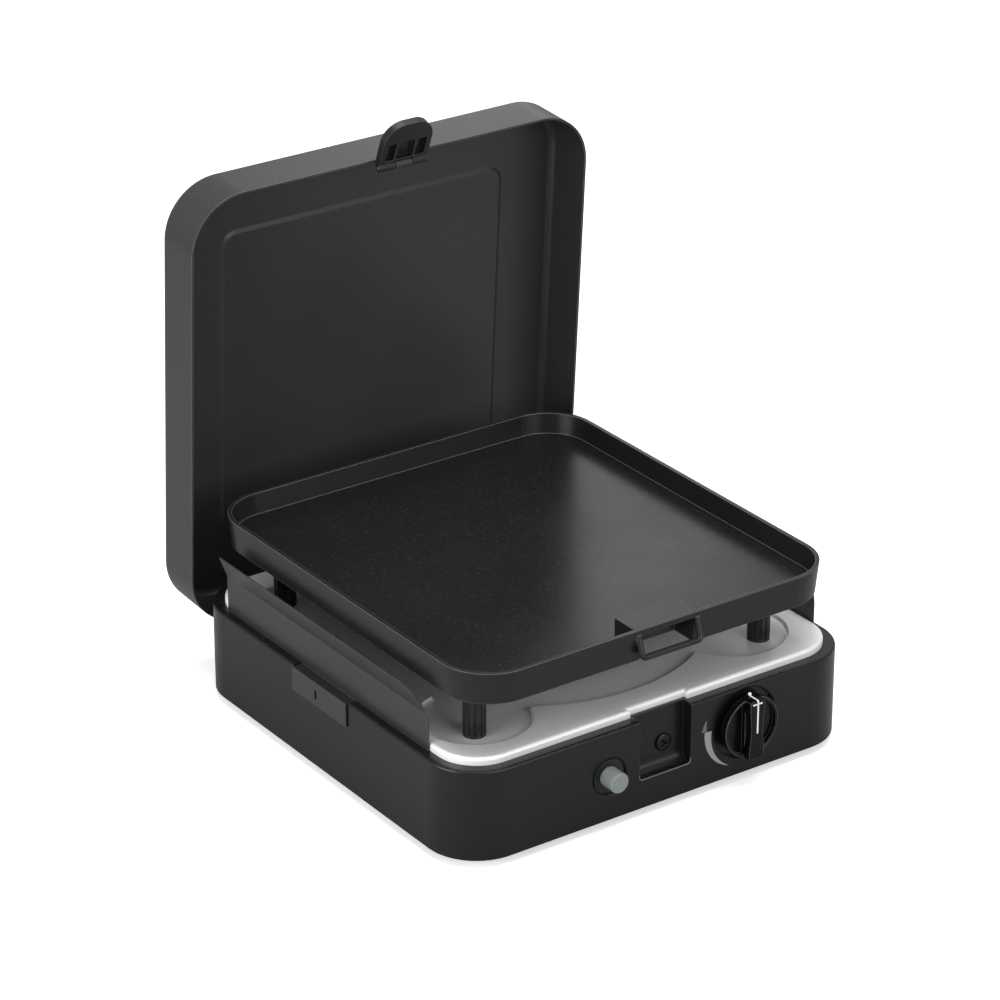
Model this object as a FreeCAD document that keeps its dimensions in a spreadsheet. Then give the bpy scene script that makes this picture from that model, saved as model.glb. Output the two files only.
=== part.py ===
import FreeCAD, Part
import math
import os

import Sketcher
from FreeCAD import Placement, Rotation, Vector

os.makedirs("parts", exist_ok=True)
doc = FreeCAD.newDocument("SingleBurnerStove")

# Driving dimensions in millimetres and degrees: alias, value, what it measures.
DRIVING = [
    ("case_width", 320, "outer width of the base case"),
    ("case_depth", 322, "outer depth of the base case"),
    ("case_height", 64, "height of the base case walls"),
    ("case_corner", 37, "plan radius of the case corners"),
    ("case_wall", 2.5, "wall of the case"),
    ("case_edge", 1.6, "rounding of the case's top edge"),
    ("ledge_width", 15, "top ledge from the outer face to the opening"),
    ("ledge_thick", 3, "thickness of the top ledge"),
    ("foot_height", 6, "table to the bottom edge of the case"),
    ("foot_radius", 10, "rubber foot radius"),
    ("foot_inset", 36, "rubber foot centre from the case faces"),
    ("pan_sheet", 1.2, "bottom pan sheet"),
    ("pan_recess", 1, "pan above the case's bottom edge"),
    ("pan_gap", 0.4, "clearance of the pan inside the case walls"),
    ("post_radius", 5, "screw post radius"),
    ("post_inset", 7, "screw post centre from the case side"),
    ("post_y", 95, "screw post centre ahead of and behind the middle"),
    ("screw_radius", 1.6, "small screw shank radius"),
    ("screw_head", 3.2, "small screw head radius"),
    ("screw_head_height", 2, "small screw head height"),
    ("screw_bite", 9, "screw length beyond the sheet it holds"),
    ("screw_gap", 0.05, "radial clearance round a screw shank"),
    ("vent_count", 7, "vent slots in the bottom pan"),
    ("vent_pitch", 16, "pitch of the vent slots"),
    ("vent_length", 60, "length of a vent slot"),
    ("vent_width", 5, "width of a vent slot"),
    ("vent_start", 30, "vent slots' inner end from the middle"),
    ("tray_inset", 8, "tray skirt inside the case's outer face"),
    ("tray_corner", 30, "plan radius of the tray skirt"),
    ("tray_sheet", 0.8, "tray sheet"),
    ("tray_fold", 1.6, "folded edge of the tray skirt"),
    ("tray_round", 2.4, "rounding of the tray's top edge"),
    ("tray_gap", 0.5, "clearance of the tray in the case opening"),
    ("tray_lip", 3, "locating lip of the tray below the case top"),
    ("field_rise", 5.5, "tray field above the case top"),
    ("well_depth", 2.8, "pressed well below the tray field"),
    ("well_radius", 127, "round well of the tray"),
    ("well_round", 2, "rounding at the foot of the well's side"),
    ("lobe_radius", 39, "corner lobe of the well"),
    ("lobe_x", 104, "corner lobe centre from the griddle's centre, across"),
    ("lobe_y", 96.5, "corner lobe centre from the griddle's centre, front to back"),
    ("tray_hole", 33, "burner hole radius in the tray"),
    ("step_width", 46, "step of the tray skirt behind the latch recess"),
    ("step_depth", 3.4, "depth of that step"),
    ("dial_x", 65, "control knob axis from the middle"),
    ("dial_drop", 26.8, "control knob axis below the case top"),
    ("dish_radius", 24.8, "dial dish radius"),
    ("dish_depth", 3.5, "dial dish depth"),
    ("dish_bevel", 1.2, "bevel of the dish edges"),
    ("dish_boss", 1.3, "wall round a dish, behind the panel"),
    ("boss_wall", 2.5, "wall behind the front dishes and the recess"),
    ("knob_radius", 21.7, "control knob radius"),
    ("knob_gap", 6.8, "knob back to the dish floor"),
    ("knob_skirt", 4.3, "knob skirt height"),
    ("knob_rim", 1.8, "knob rim width round its pockets"),
    ("knob_pocket", 3, "depth of the knob's finger pockets"),
    ("bar_width", 12, "width of the knob's grip bar"),
    ("bar_height", 10.2, "grip bar front from the knob back"),
    ("bar_waist", 1.1, "grip bar narrower at its middle, each side"),
    ("bar_sweep", 75, "radius of the grip bar's hollow sides"),
    ("bar_round", 1.2, "rounding of the grip bar"),
    ("spindle_radius", 3, "valve spindle radius"),
    ("spindle_grip", 9, "spindle length inside the knob"),
    ("running_fit", 0.05, "radial clearance of a running fit"),
    ("push_travel", 3, "travel of the knob when pushed"),
    ("button_x", -44.5, "igniter button axis from the middle"),
    ("button_drop", 32.4, "igniter button axis below the case top"),
    ("button_radius", 7, "igniter button radius"),
    ("button_proud", 11, "igniter button in front of the case"),
    ("button_length", 32, "igniter button length"),
    ("button_round", 1, "rounding of the button's front edge"),
    ("button_dish", 13, "igniter dish radius"),
    ("button_dish_depth", 2.5, "igniter dish depth"),
    ("igniter_flange", 11.5, "igniter flange radius"),
    ("flange_thick", 1.2, "igniter flange thickness"),
    ("igniter_barrel", 9, "igniter barrel radius"),
    ("igniter_length", 46, "igniter barrel length behind the dish floor"),
    ("igniter_bore", 34, "depth of the igniter bore"),
    ("nut_radius", 13, "igniter nut radius across its corners"),
    ("nut_thick", 4, "igniter nut thickness"),
    ("recess_width", 41.5, "latch recess width"),
    ("recess_depth", 9, "latch recess depth"),
    ("recess_height", 43, "latch recess height from the case top"),
    ("recess_sweep", 7.5, "radius of the recess's curved foot"),
    ("catch_x", 4.5, "catch screw from the middle"),
    ("catch_drop", 26.1, "catch screw below the case top"),
    ("catch_head", 6.2, "catch screw head radius"),
    ("catch_proud", 2.6, "catch screw head height"),
    ("shield_inset", 7, "windshield sheet inside the case's outer face"),
    ("shield_sheet", 1, "windshield sheet thickness"),
    ("shield_front", 114.5, "windshield front edge ahead of the middle"),
    ("shield_lead", 8, "right windshield's front edge ahead of the left one's"),
    ("shield_back", 125, "windshield rear edge behind the middle"),
    ("shield_rise", 26, "windshield upright part above the ledge"),
    ("shield_flare", 16.5, "windshield flared lip"),
    ("shield_angle", 21, "lean of the flared lip"),
    ("shield_corner", 24, "front top corner radius of the windshield"),
    ("corner_reach", 20, "width of the cut that rounds that corner"),
    ("corner_start", 5, "that cut's start inside the windshield"),
    ("tab_length", 64, "windshield hook length"),
    ("tab_middle", 1, "windshield hook centre behind the middle"),
    ("tab_drop", 16, "windshield hook down the outer wall"),
    ("tab_gap", 0.3, "windshield hook to the case"),
    ("tab_recess", 1.6, "notch in the ledge for the hook"),
    ("slot_width", 2.4, "slot in the hook, width"),
    ("slot_height", 7, "slot in the hook, height"),
    ("slot_offset", 4, "slot in the hook, behind the hook's centre"),
    ("lid_inset", 0.4, "closed lid inside the case's outer faces at the sides"),
    ("lid_front", 1.8, "closed lid's front face behind the case's front face"),
    ("lid_height", 38.9, "lid wall from its rim to its outer panel"),
    ("lid_corner", 39.6, "plan radius of the lid corners"),
    ("lid_edge", 6, "rounding of the lid's outer edge"),
    ("lid_sheet", 1.4, "lid sheet"),
    ("lid_back", 0.4, "closed lid's rear face behind the case's rear face"),
    ("panel_width", 229, "pressed panel of the lid"),
    ("panel_corner", 12, "corner radius of the pressed panel"),
    ("panel_step", 1.3, "depth of the pressed panel"),
    ("panel_bevel", 2.4, "sloped border of the pressed panel"),
    ("open_angle", 86.5, "lid opening in the rest pose"),
    ("pivot_inset", 15, "lid pivot ahead of the case's rear face"),
    ("pivot_drop", 17.3, "lid pivot below the case top"),
    ("arm_inset", 52, "hinge arm from the case's side"),
    ("arm_sheet", 3, "hinge arm plate"),
    ("arm_eye", 6, "radius of the arm's eye"),
    ("arm_strip", 5.5, "width of the arm along the lid wall"),
    ("arm_reach", 22, "arm above the lid's rim"),
    ("arm_flange", 11, "flange of the arm on the lid wall"),
    ("arm_flange_sheet", 2, "thickness of that flange"),
    ("rivet_radius", 1.9, "rivet shank radius"),
    ("rivet_head", 3.5, "rivet head radius"),
    ("rivet_head_height", 1.2, "rivet head height"),
    ("pin_radius", 2.5, "lid hinge pin radius"),
    ("ear_gap", 1, "hinge arm to each bracket ear"),
    ("ear_sheet", 2, "bracket ear sheet"),
    ("hinge_slot", 8, "width of the slot for a hinge arm"),
    ("hinge_slot_below", 17, "slot bottom below the lid pivot"),
    ("lug_width", 12, "latch lug on the lid"),
    ("lug_drop", 7, "latch pin beyond the lid's rim"),
    ("lug_radius", 3.2, "latch lug radius round the pin"),
    ("latch_pin", 1.3, "latch pin radius"),
    ("latch_width", 38.5, "latch width"),
    ("latch_length", 34, "latch from its pin to its tip"),
    ("latch_thick", 5.5, "latch thickness"),
    ("latch_frame", 3.4, "latch frame round its window"),
    ("latch_window", 14, "height of the latch window"),
    ("latch_floor", 1.6, "outer skin behind the latch window"),
    ("latch_rib", 1.6, "latch rib thickness"),
    ("latch_angle", 73, "latch swung out of its closed pose"),
    ("grid_width", 293, "griddle width at its rim"),
    ("grid_depth", 314.5, "griddle depth at its rim"),
    ("grid_corner", 36, "griddle corner radius at its rim"),
    ("grid_x", -4.2, "griddle centre to the right of the middle"),
    ("grid_y", -4.6, "griddle centre behind the middle"),
    ("grid_wall_height", 22.2, "griddle wall height"),
    ("grid_draft", 2.2, "griddle wall lean from rim to foot, in plan"),
    ("grid_wall", 2.8, "griddle wall thickness"),
    ("grid_deep", 15, "griddle rim to its cooking face"),
    ("grid_floor", 4, "griddle floor thickness"),
    ("grid_stand", 42.2, "griddle wall foot above the tray well"),
    ("sleeve_radius", 7.6, "foot sleeve radius"),
    ("sleeve_length", 31, "foot sleeve length"),
    ("sleeve_flutes", 12, "flutes round a foot sleeve"),
    ("flute_radius", 0.9, "flute radius"),
    ("boss_top", 11.2, "griddle foot boss radius at the floor"),
    ("boss_foot", 9.4, "griddle foot boss radius at the sleeve"),
    ("stud_radius", 4, "stud inside the sleeve"),
    ("stud_length", 27, "stud length inside the sleeve"),
    ("leg_x", 115, "griddle foot from the middle, across"),
    ("leg_y", 111.8, "griddle foot from the griddle's centre"),
    ("pocket_width", 43, "handle pocket width in the griddle wall"),
    ("pocket_deep", 22, "handle pocket from the rim face inwards"),
    ("pocket_top", 4, "handle pocket roof below the rim"),
    ("pocket_wall", 3, "wall round the handle pocket"),
    ("handle_width", 51, "griddle handle, outside"),
    ("handle_bar", 2.1, "handle bar radius"),
    ("handle_proud", 3.6, "handle bar in front of the rim face"),
    ("handle_drop", 18.4, "handle bar below the rim"),
    ("burner_floor", 26, "burner bowl bottom above the pan"),
    ("bowl_radius", 37, "burner bowl flange radius"),
    ("bowl_wall", 2.5, "burner bowl wall"),
    ("bowl_foot", 20, "burner bowl radius at its foot"),
    ("mixer_radius", 9, "mixing tube radius"),
    ("mixer_wall", 2, "mixing tube wall"),
    ("mixer_end", 92, "mixing tube end from the burner axis"),
    ("ring_radius", 36, "burner ring radius"),
    ("ring_wall", 8, "burner ring wall"),
    ("ring_height", 16, "burner ring height above the tray"),
    ("ring_ports", 24, "flame ports round the burner ring"),
    ("port_width", 2, "flame port width"),
    ("port_height", 6, "flame port height"),
    ("cap_radius", 38, "burner cap radius"),
    ("cap_height", 4, "burner cap height"),
    ("bracket_width", 26, "burner bracket width"),
    ("bracket_span", 56, "burner bracket leg from the burner axis"),
    ("bracket_sheet", 1.5, "burner bracket sheet"),
    ("bracket_foot", 14, "burner bracket foot length"),
    ("jet_radius", 4, "gas jet radius"),
    ("jet_length", 18, "gas jet length"),
    ("jet_gap", 6, "gas jet to the mixing tube"),
    ("holder_width", 24, "jet holder width"),
    ("holder_sheet", 2, "jet holder sheet"),
    ("pipe_radius", 3, "gas pipe radius"),
    ("pipe_bend", 14, "gas pipe bend radius"),
    ("pipe_out", 20, "outlet pipe run to the side of the jet"),
    ("valve_width", 26, "valve body width"),
    ("valve_height", 26, "valve body height"),
    ("valve_length", 40, "valve body length"),
    ("valve_port", 6, "valve port boss radius"),
    ("valve_port_length", 7, "valve port boss length"),
    ("magnet_radius", 8, "flame guard magnet housing radius"),
    ("magnet_length", 20, "flame guard magnet housing length"),
    ("rod_radius", 1.5, "push rod radius"),
    ("rod_length", 14, "push rod length"),
    ("inlet_x", 60, "gas inlet from the middle"),
    ("inlet_height", 20, "gas inlet above the table"),
    ("inlet_nut", 8.5, "gas inlet nut radius across its corners"),
    ("inlet_nut_thick", 5, "gas inlet nut thickness"),
    ("inlet_thread", 6, "gas inlet body radius"),
    ("inlet_inside", 14, "gas inlet body inside the case"),
    ("nozzle_radius", 4.5, "hose nozzle radius"),
    ("nozzle_length", 16, "hose nozzle length"),
    ("probe_radius", 2, "flame probe radius"),
    ("probe_circle", 42, "flame probe and spark pin from the burner axis"),
    ("probe_turn", 50, "flame probe and spark pin from the front, round the burner"),
    ("probe_low", 12, "probe below the tray"),
    ("probe_high", 20, "probe above the tray"),
    ("collar_radius", 4.2, "probe collar radius"),
    ("collar_height", 1.6, "probe collar height"),
    ("lead_radius", 1.1, "probe and spark lead radius"),
    ("lead_bend", 9, "bend radius of the leads"),
    ("spark_sleeve", 3, "spark pin's ceramic radius"),
    ("spark_pin", 1, "spark pin radius"),
    ("spark_high", 11, "ceramic above the tray"),
]

sheet = doc.addObject("Spreadsheet::Sheet", "Sizes")
for row, (alias, value, meaning) in enumerate(DRIVING, start=1):
    sheet.set(f"A{row}", meaning)
    sheet.set(f"B{row}", str(value))
    sheet.setAlias(f"B{row}", alias)
doc.recompute()


class Size:
    """A number and the sheet expression that gives it."""

    def __init__(self, number, text):
        self.number = float(number)
        self.text = text

    def __float__(self):
        return self.number

    def __add__(self, other):
        other = as_size(other)
        return Size(self.number + other.number, f"({self.text} + {other.text})")

    def __radd__(self, other):
        return as_size(other) + self

    def __sub__(self, other):
        other = as_size(other)
        return Size(self.number - other.number, f"({self.text} - {other.text})")

    def __rsub__(self, other):
        return as_size(other) - self

    def __mul__(self, other):
        other = as_size(other)
        return Size(self.number * other.number, f"({self.text} * {other.text})")

    def __rmul__(self, other):
        return as_size(other) * self

    def __truediv__(self, other):
        other = as_size(other)
        return Size(self.number / other.number, f"({self.text} / {other.text})")

    def __neg__(self):
        return Size(-self.number, f"(0 - {self.text})")


def as_size(value):
    return value if isinstance(value, Size) else Size(value, repr(float(value)))


class Sheet:
    """Reads a driving dimension by its alias."""

    def __getattr__(self, alias):
        return Size(float(sheet.get(alias)), f"Sizes.{alias}")


def sine(angle):
    return Size(math.sin(math.radians(float(angle))), f"sin({angle.text} * 1 deg)")


def cosine(angle):
    return Size(math.cos(math.radians(float(angle))), f"cos({angle.text} * 1 deg)")


s = Sheet()

# Levels and places that several sub-parts share. Y 0 is the middle of the case here.
case_top = s.foot_height + s.case_height
half_width = s.case_width / 2
half_depth = s.case_depth / 2
front = -half_depth
pan_low = s.foot_height + s.pan_recess
pan_top = pan_low + s.pan_sheet
field = case_top + s.field_rise
well = field - s.well_depth
dial_z = case_top - s.dial_drop
dish_floor = front + s.dish_depth
button_z = case_top - s.button_drop
button_floor = front + s.button_dish_depth
recess_back = front + s.recess_depth
recess_low = case_top - s.recess_height
arm_x = half_width - s.arm_inset
pivot_y = half_depth - s.pivot_inset
pivot_z = case_top - s.pivot_drop
tab_low = case_top - s.tab_recess
bowl_low = pan_top + s.burner_floor
bowl_top = well - s.tray_sheet
mixer_z = bowl_low + s.mixer_radius
grid_foot = well + s.grid_stand
grid_rim = grid_foot + s.grid_wall_height
grid_face = grid_rim - s.grid_deep
grid_under = grid_face - s.grid_floor
knob_back = dish_floor - s.knob_gap
valve_front = dish_floor + s.boss_wall
valve_back = valve_front + s.valve_length
shield_in = half_width - s.shield_inset - s.shield_sheet / 2
shield_out = shield_in + s.shield_sheet
TINY = 1

lid_half = half_width - s.lid_inset
lid_depth = s.case_depth - s.lid_front + s.lid_back

# The closed lid measured from its pivot, and where the open lid's furthest edge comes to.
lid_rear = s.pivot_inset + s.lid_back
lid_rim_z = s.pivot_drop
lid_reach = (
    cosine(s.open_angle) * (lid_rear - s.lid_edge)
    + sine(s.open_angle) * (lid_rim_z + s.lid_height - s.lid_edge)
    + s.lid_edge
)
rearmost = pivot_y + lid_reach
foremost = knob_back - s.bar_height
origin_shift = -(rearmost + foremost) / 2

HOME = Placement(Vector(0, float(origin_shift), 0), Rotation())
TURN = {
    "x": Rotation(Vector(0, 1, 0), 90),
    "y": Rotation(Vector(1, 0, 0), -90),
    "z": Rotation(),
}


def swing(y, z, angle):
    """Turns a piece about an X axis through (y, z)."""
    pivot = Vector(0, float(y), float(z))
    rotation = Rotation(Vector(1, 0, 0), float(angle))
    return Placement(pivot - rotation.multVec(pivot), rotation)


LID_OPEN = HOME.multiply(swing(pivot_y, pivot_z, -s.open_angle))

sub_parts = []


def keep(item, label, placement=HOME):
    """Names a finished sub-part and puts it in place."""
    if item.isDerivedFrom("Part::Primitive"):
        item = group([item])
    item.Label = label
    item.Placement = placement
    sub_parts.append(item)
    return item


def bind(item, prop, size):
    item.setExpression(prop, as_size(size).text)


def bind_base(item, point):
    for axis, size in zip("xyz", point):
        bind(item, f"Placement.Base.{axis}", size)


def box(low, high, name="Block"):
    item = doc.addObject("Part::Box", name)
    for prop, first, last in zip(("Length", "Width", "Height"), low, high):
        bind(item, prop, last - as_size(first))
    bind_base(item, low)
    return item


def rod(base, axis, radius, length, name="Rod"):
    item = doc.addObject("Part::Cylinder", name)
    item.Placement = Placement(Vector(), TURN[axis])
    bind(item, "Radius", radius)
    bind(item, "Height", length)
    bind_base(item, base)
    return item


def cone(base, axis, first, second, length, name="Taper"):
    item = doc.addObject("Part::Cone", name)
    item.Placement = Placement(Vector(), TURN[axis])
    bind(item, "Radius1", first)
    bind(item, "Radius2", second)
    bind(item, "Height", length)
    bind_base(item, base)
    return item


def hexagon(base, axis, radius, length, name="Hexagon"):
    item = doc.addObject("Part::Prism", name)
    item.Polygon = 6
    item.Placement = Placement(Vector(), TURN[axis])
    bind(item, "Circumradius", radius)
    bind(item, "Height", length)
    bind_base(item, base)
    return item


def fuse(items, name="Union"):
    item = doc.addObject("Part::MultiFuse", name)
    item.Shapes = items
    item.Refine = True
    return item


def cut(base, tools, name="Cut"):
    item = doc.addObject("Part::Cut", name)
    item.Base = base
    item.Tool = tools[0] if len(tools) == 1 else fuse(tools)
    item.Refine = True
    return item


def common(first, second, name="Common"):
    item = doc.addObject("Part::MultiCommon", name)
    item.Shapes = [first, second]
    item.Refine = True
    return item


def group(items, name="Group"):
    item = doc.addObject("Part::Compound", name)
    item.Links = items
    return item


def new_body(name):
    return doc.addObject("PartDesign::Body", name)


def new_sketch(body, plane, offset, name="Sketch"):
    """A sketch on one of the body's own planes; offset runs along the plane's normal."""
    sketch = body.newObject("Sketcher::SketchObject", name)
    support = next(f for f in body.Origin.OriginFeatures if f.Role == plane)
    sketch.AttachmentSupport = (support, [""])
    sketch.MapMode = "FlatFace"
    bind(sketch, "AttachmentOffset.Base.z", offset)
    return sketch


def datum(sketch, kind, *parts):
    """Adds one driving constraint whose last argument is a Size."""
    size = as_size(parts[-1])
    index = sketch.addConstraint(Sketcher.Constraint(kind, *parts[:-1], size.number))
    sketch.renameConstraint(index, f"size{index}")
    sketch.setExpression(f"Constraints.size{index}", size.text)


def rounded_rectangle(sketch, low, high, radius):
    x0, y0, x1, y1, r = (float(v) for v in (*low, *high, radius))
    first = sketch.GeometryCount
    corners = [(x1 - r, y1 - r, 0), (x0 + r, y1 - r, 1), (x0 + r, y0 + r, 2), (x1 - r, y0 + r, 3)]
    runs = [((x1 - r, y1), (x0 + r, y1)), ((x0, y1 - r), (x0, y0 + r)),
            ((x0 + r, y0), (x1 - r, y0)), ((x1, y0 + r), (x1, y1 - r))]
    for (cx, cy, quarter), (start, end) in zip(corners, runs):
        ring = Part.Circle(Vector(cx, cy, 0), Vector(0, 0, 1), r)
        turn = quarter * math.pi / 2
        sketch.addGeometry(Part.ArcOfCircle(ring, turn, turn + math.pi / 2))
        sketch.addGeometry(Part.LineSegment(Vector(*start, 0), Vector(*end, 0)))
    for i in range(4):
        arc, line, following = first + 2 * i, first + 2 * i + 1, first + (2 * i + 2) % 8
        sketch.addConstraint(Sketcher.Constraint("Tangent", arc, 2, line, 1))
        sketch.addConstraint(Sketcher.Constraint("Tangent", line, 2, following, 1))
        sketch.addConstraint(Sketcher.Constraint("Horizontal" if i % 2 == 0 else "Vertical", line))
        if i:
            sketch.addConstraint(Sketcher.Constraint("Equal", first, arc))
    datum(sketch, "Radius", first, radius)
    datum(sketch, "DistanceY", -1, 1, first + 1, 1, high[1])
    datum(sketch, "DistanceX", -1, 1, first + 3, 1, low[0])
    datum(sketch, "DistanceY", -1, 1, first + 5, 1, low[1])
    datum(sketch, "DistanceX", -1, 1, first + 7, 1, high[0])


def inset_rectangle(sketch, inset, radius, y_middle=0):
    """A rounded rectangle set in from the case's outer faces."""
    wide, deep = half_width - inset, half_depth - inset
    rounded_rectangle(sketch, (-wide, y_middle - deep), (wide, y_middle + deep), radius)


def polygon(sketch, points):
    first = sketch.GeometryCount
    count = len(points)
    for i, start in enumerate(points):
        end = points[(i + 1) % count]
        sketch.addGeometry(Part.LineSegment(
            Vector(float(start[0]), float(start[1]), 0), Vector(float(end[0]), float(end[1]), 0)))
    for i, point in enumerate(points):
        sketch.addConstraint(Sketcher.Constraint(
            "Coincident", first + i, 2, first + (i + 1) % count, 1))
        datum(sketch, "DistanceX", -1, 1, first + i, 1, point[0])
        datum(sketch, "DistanceY", -1, 1, first + i, 1, point[1])


def rectangle(sketch, low, high):
    polygon(sketch, [low, (high[0], low[1]), high, (low[0], high[1])])


def circle(sketch, x, y, radius):
    index = sketch.addGeometry(
        Part.Circle(Vector(float(x), float(y), 0), Vector(0, 0, 1), float(radius)))
    datum(sketch, "DistanceX", -1, 1, index, 3, x)
    datum(sketch, "DistanceY", -1, 1, index, 3, y)
    datum(sketch, "Radius", index, radius)


def extrude(body, kind, sketch, length, reverse=False, both=False, name=None):
    feature = body.newObject(f"PartDesign::{kind}", name or kind)
    feature.Profile = sketch
    if length is None:
        feature.Type = 1
    else:
        bind(feature, "Length", length)
    feature.Reversed = reverse
    feature.Midplane = both
    return feature


def pad(body, sketch, length, **options):
    return extrude(body, "Pad", sketch, length, **options)


def pocket(body, sketch, length, **options):
    """Cuts against the sketch's normal, or along it when reversed."""
    return extrude(body, "Pocket", sketch, length, **options)


def loft(body, kind, sketches):
    feature = body.newObject(f"PartDesign::{kind}Loft", f"{kind}Loft")
    feature.Profile = sketches[0]
    feature.Sections = sketches[1:]
    feature.Ruled = True
    return feature


def edge_names(shape, wanted):
    return [f"Edge{i}" for i, edge in enumerate(shape.Edges, start=1) if wanted(edge)]


def at_level(level, axis="z"):
    """Picks edges that lie wholly at one level along an axis."""
    level = float(level)

    def wanted(edge):
        bounds = edge.BoundBox
        low, high = getattr(bounds, f"{axis.upper()}Min"), getattr(bounds, f"{axis.upper()}Max")
        return abs(low - level) < 0.01 and abs(high - level) < 0.01
    return wanted


def ring_at(radius, level):
    """Picks the whole circles of one radius at one Y level."""
    def wanted(edge):
        round_edge = isinstance(edge.Curve, Part.Circle)
        return (round_edge and abs(edge.Curve.Radius - float(radius)) < 0.01
                and abs(edge.Curve.Center.y - float(level)) < 0.01)
    return wanted


def on_line(y, z):
    """Picks the edges along X at one place in Y and Z."""
    def wanted(edge):
        return at_level(y, "y")(edge) and at_level(z)(edge)
    return wanted


def dress(body, kind, base, wanted, size):
    """A fillet or chamfer on the edges that a test picks from a feature."""
    doc.recompute()
    feature = body.newObject(f"PartDesign::{kind}", kind)
    feature.Base = (base, edge_names(base.Shape, wanted))
    bind(feature, "Radius" if kind == "Fillet" else "Size", size)
    return feature


def bent_rod(points, radius, bend, name="Pipe"):
    """A round rod along straight runs joined by tangent arcs."""
    path = [Vector(*(float(v) for v in point)) for point in points]
    bend = float(bend)
    start = path[0]
    edges = []
    for i in range(1, len(path) - 1):
        back = (path[i - 1] - path[i]).normalize()
        ahead = (path[i + 1] - path[i]).normalize()
        half = back.getAngle(ahead) / 2
        trim = bend / math.tan(half)
        first = path[i] + back * trim
        last = path[i] + ahead * trim
        middle = path[i] + (back + ahead).normalize() * (bend / math.sin(half) - bend)
        edges += [Part.makeLine(start, first), Part.Arc(first, middle, last).toShape()]
        start = last
    edges.append(Part.makeLine(start, path[-1]))
    heading = (path[1] - path[0]).normalize()
    section = Part.Wire(Part.makeCircle(float(radius), path[0], heading))
    item = doc.addObject("Part::Feature", name)
    item.Shape = Part.Wire(edges).makePipeShell([section], True, False)
    return item


def post_centres():
    x = half_width - s.post_inset
    return [(x * sx, s.post_y * sy) for sx in (-1, 1) for sy in (-1, 1)]


def foot_centres():
    x, y = half_width - s.foot_inset, half_depth - s.foot_inset
    return [(x * sx, y * sy) for sx in (-1, 1) for sy in (-1, 1)]


def tube(base, axis, outer, inner, length, name="Tube"):
    """A rod with a through bore."""
    over = {axis_name: TINY if axis_name == axis else 0 for axis_name in "xyz"}
    start = [as_size(v) - over[axis_name] for v, axis_name in zip(base, "xyz")]
    return cut(rod(base, axis, outer, length),
               [rod(start, axis, inner, length + 2 * TINY)], name)


def screw(x, y, z, up, length):
    """A pan head screw; the head's seat is at z and the shank runs up or down."""
    if up:
        head = rod((x, y, z - s.screw_head_height), "z", s.screw_head, s.screw_head_height)
        shank = rod((x, y, z - TINY), "z", s.screw_radius, length + TINY)
    else:
        head = rod((x, y, z), "z", s.screw_head, s.screw_head_height)
        shank = rod((x, y, z - length), "z", s.screw_radius, length + TINY)
    return fuse([head, shank], "Screw")


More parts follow.
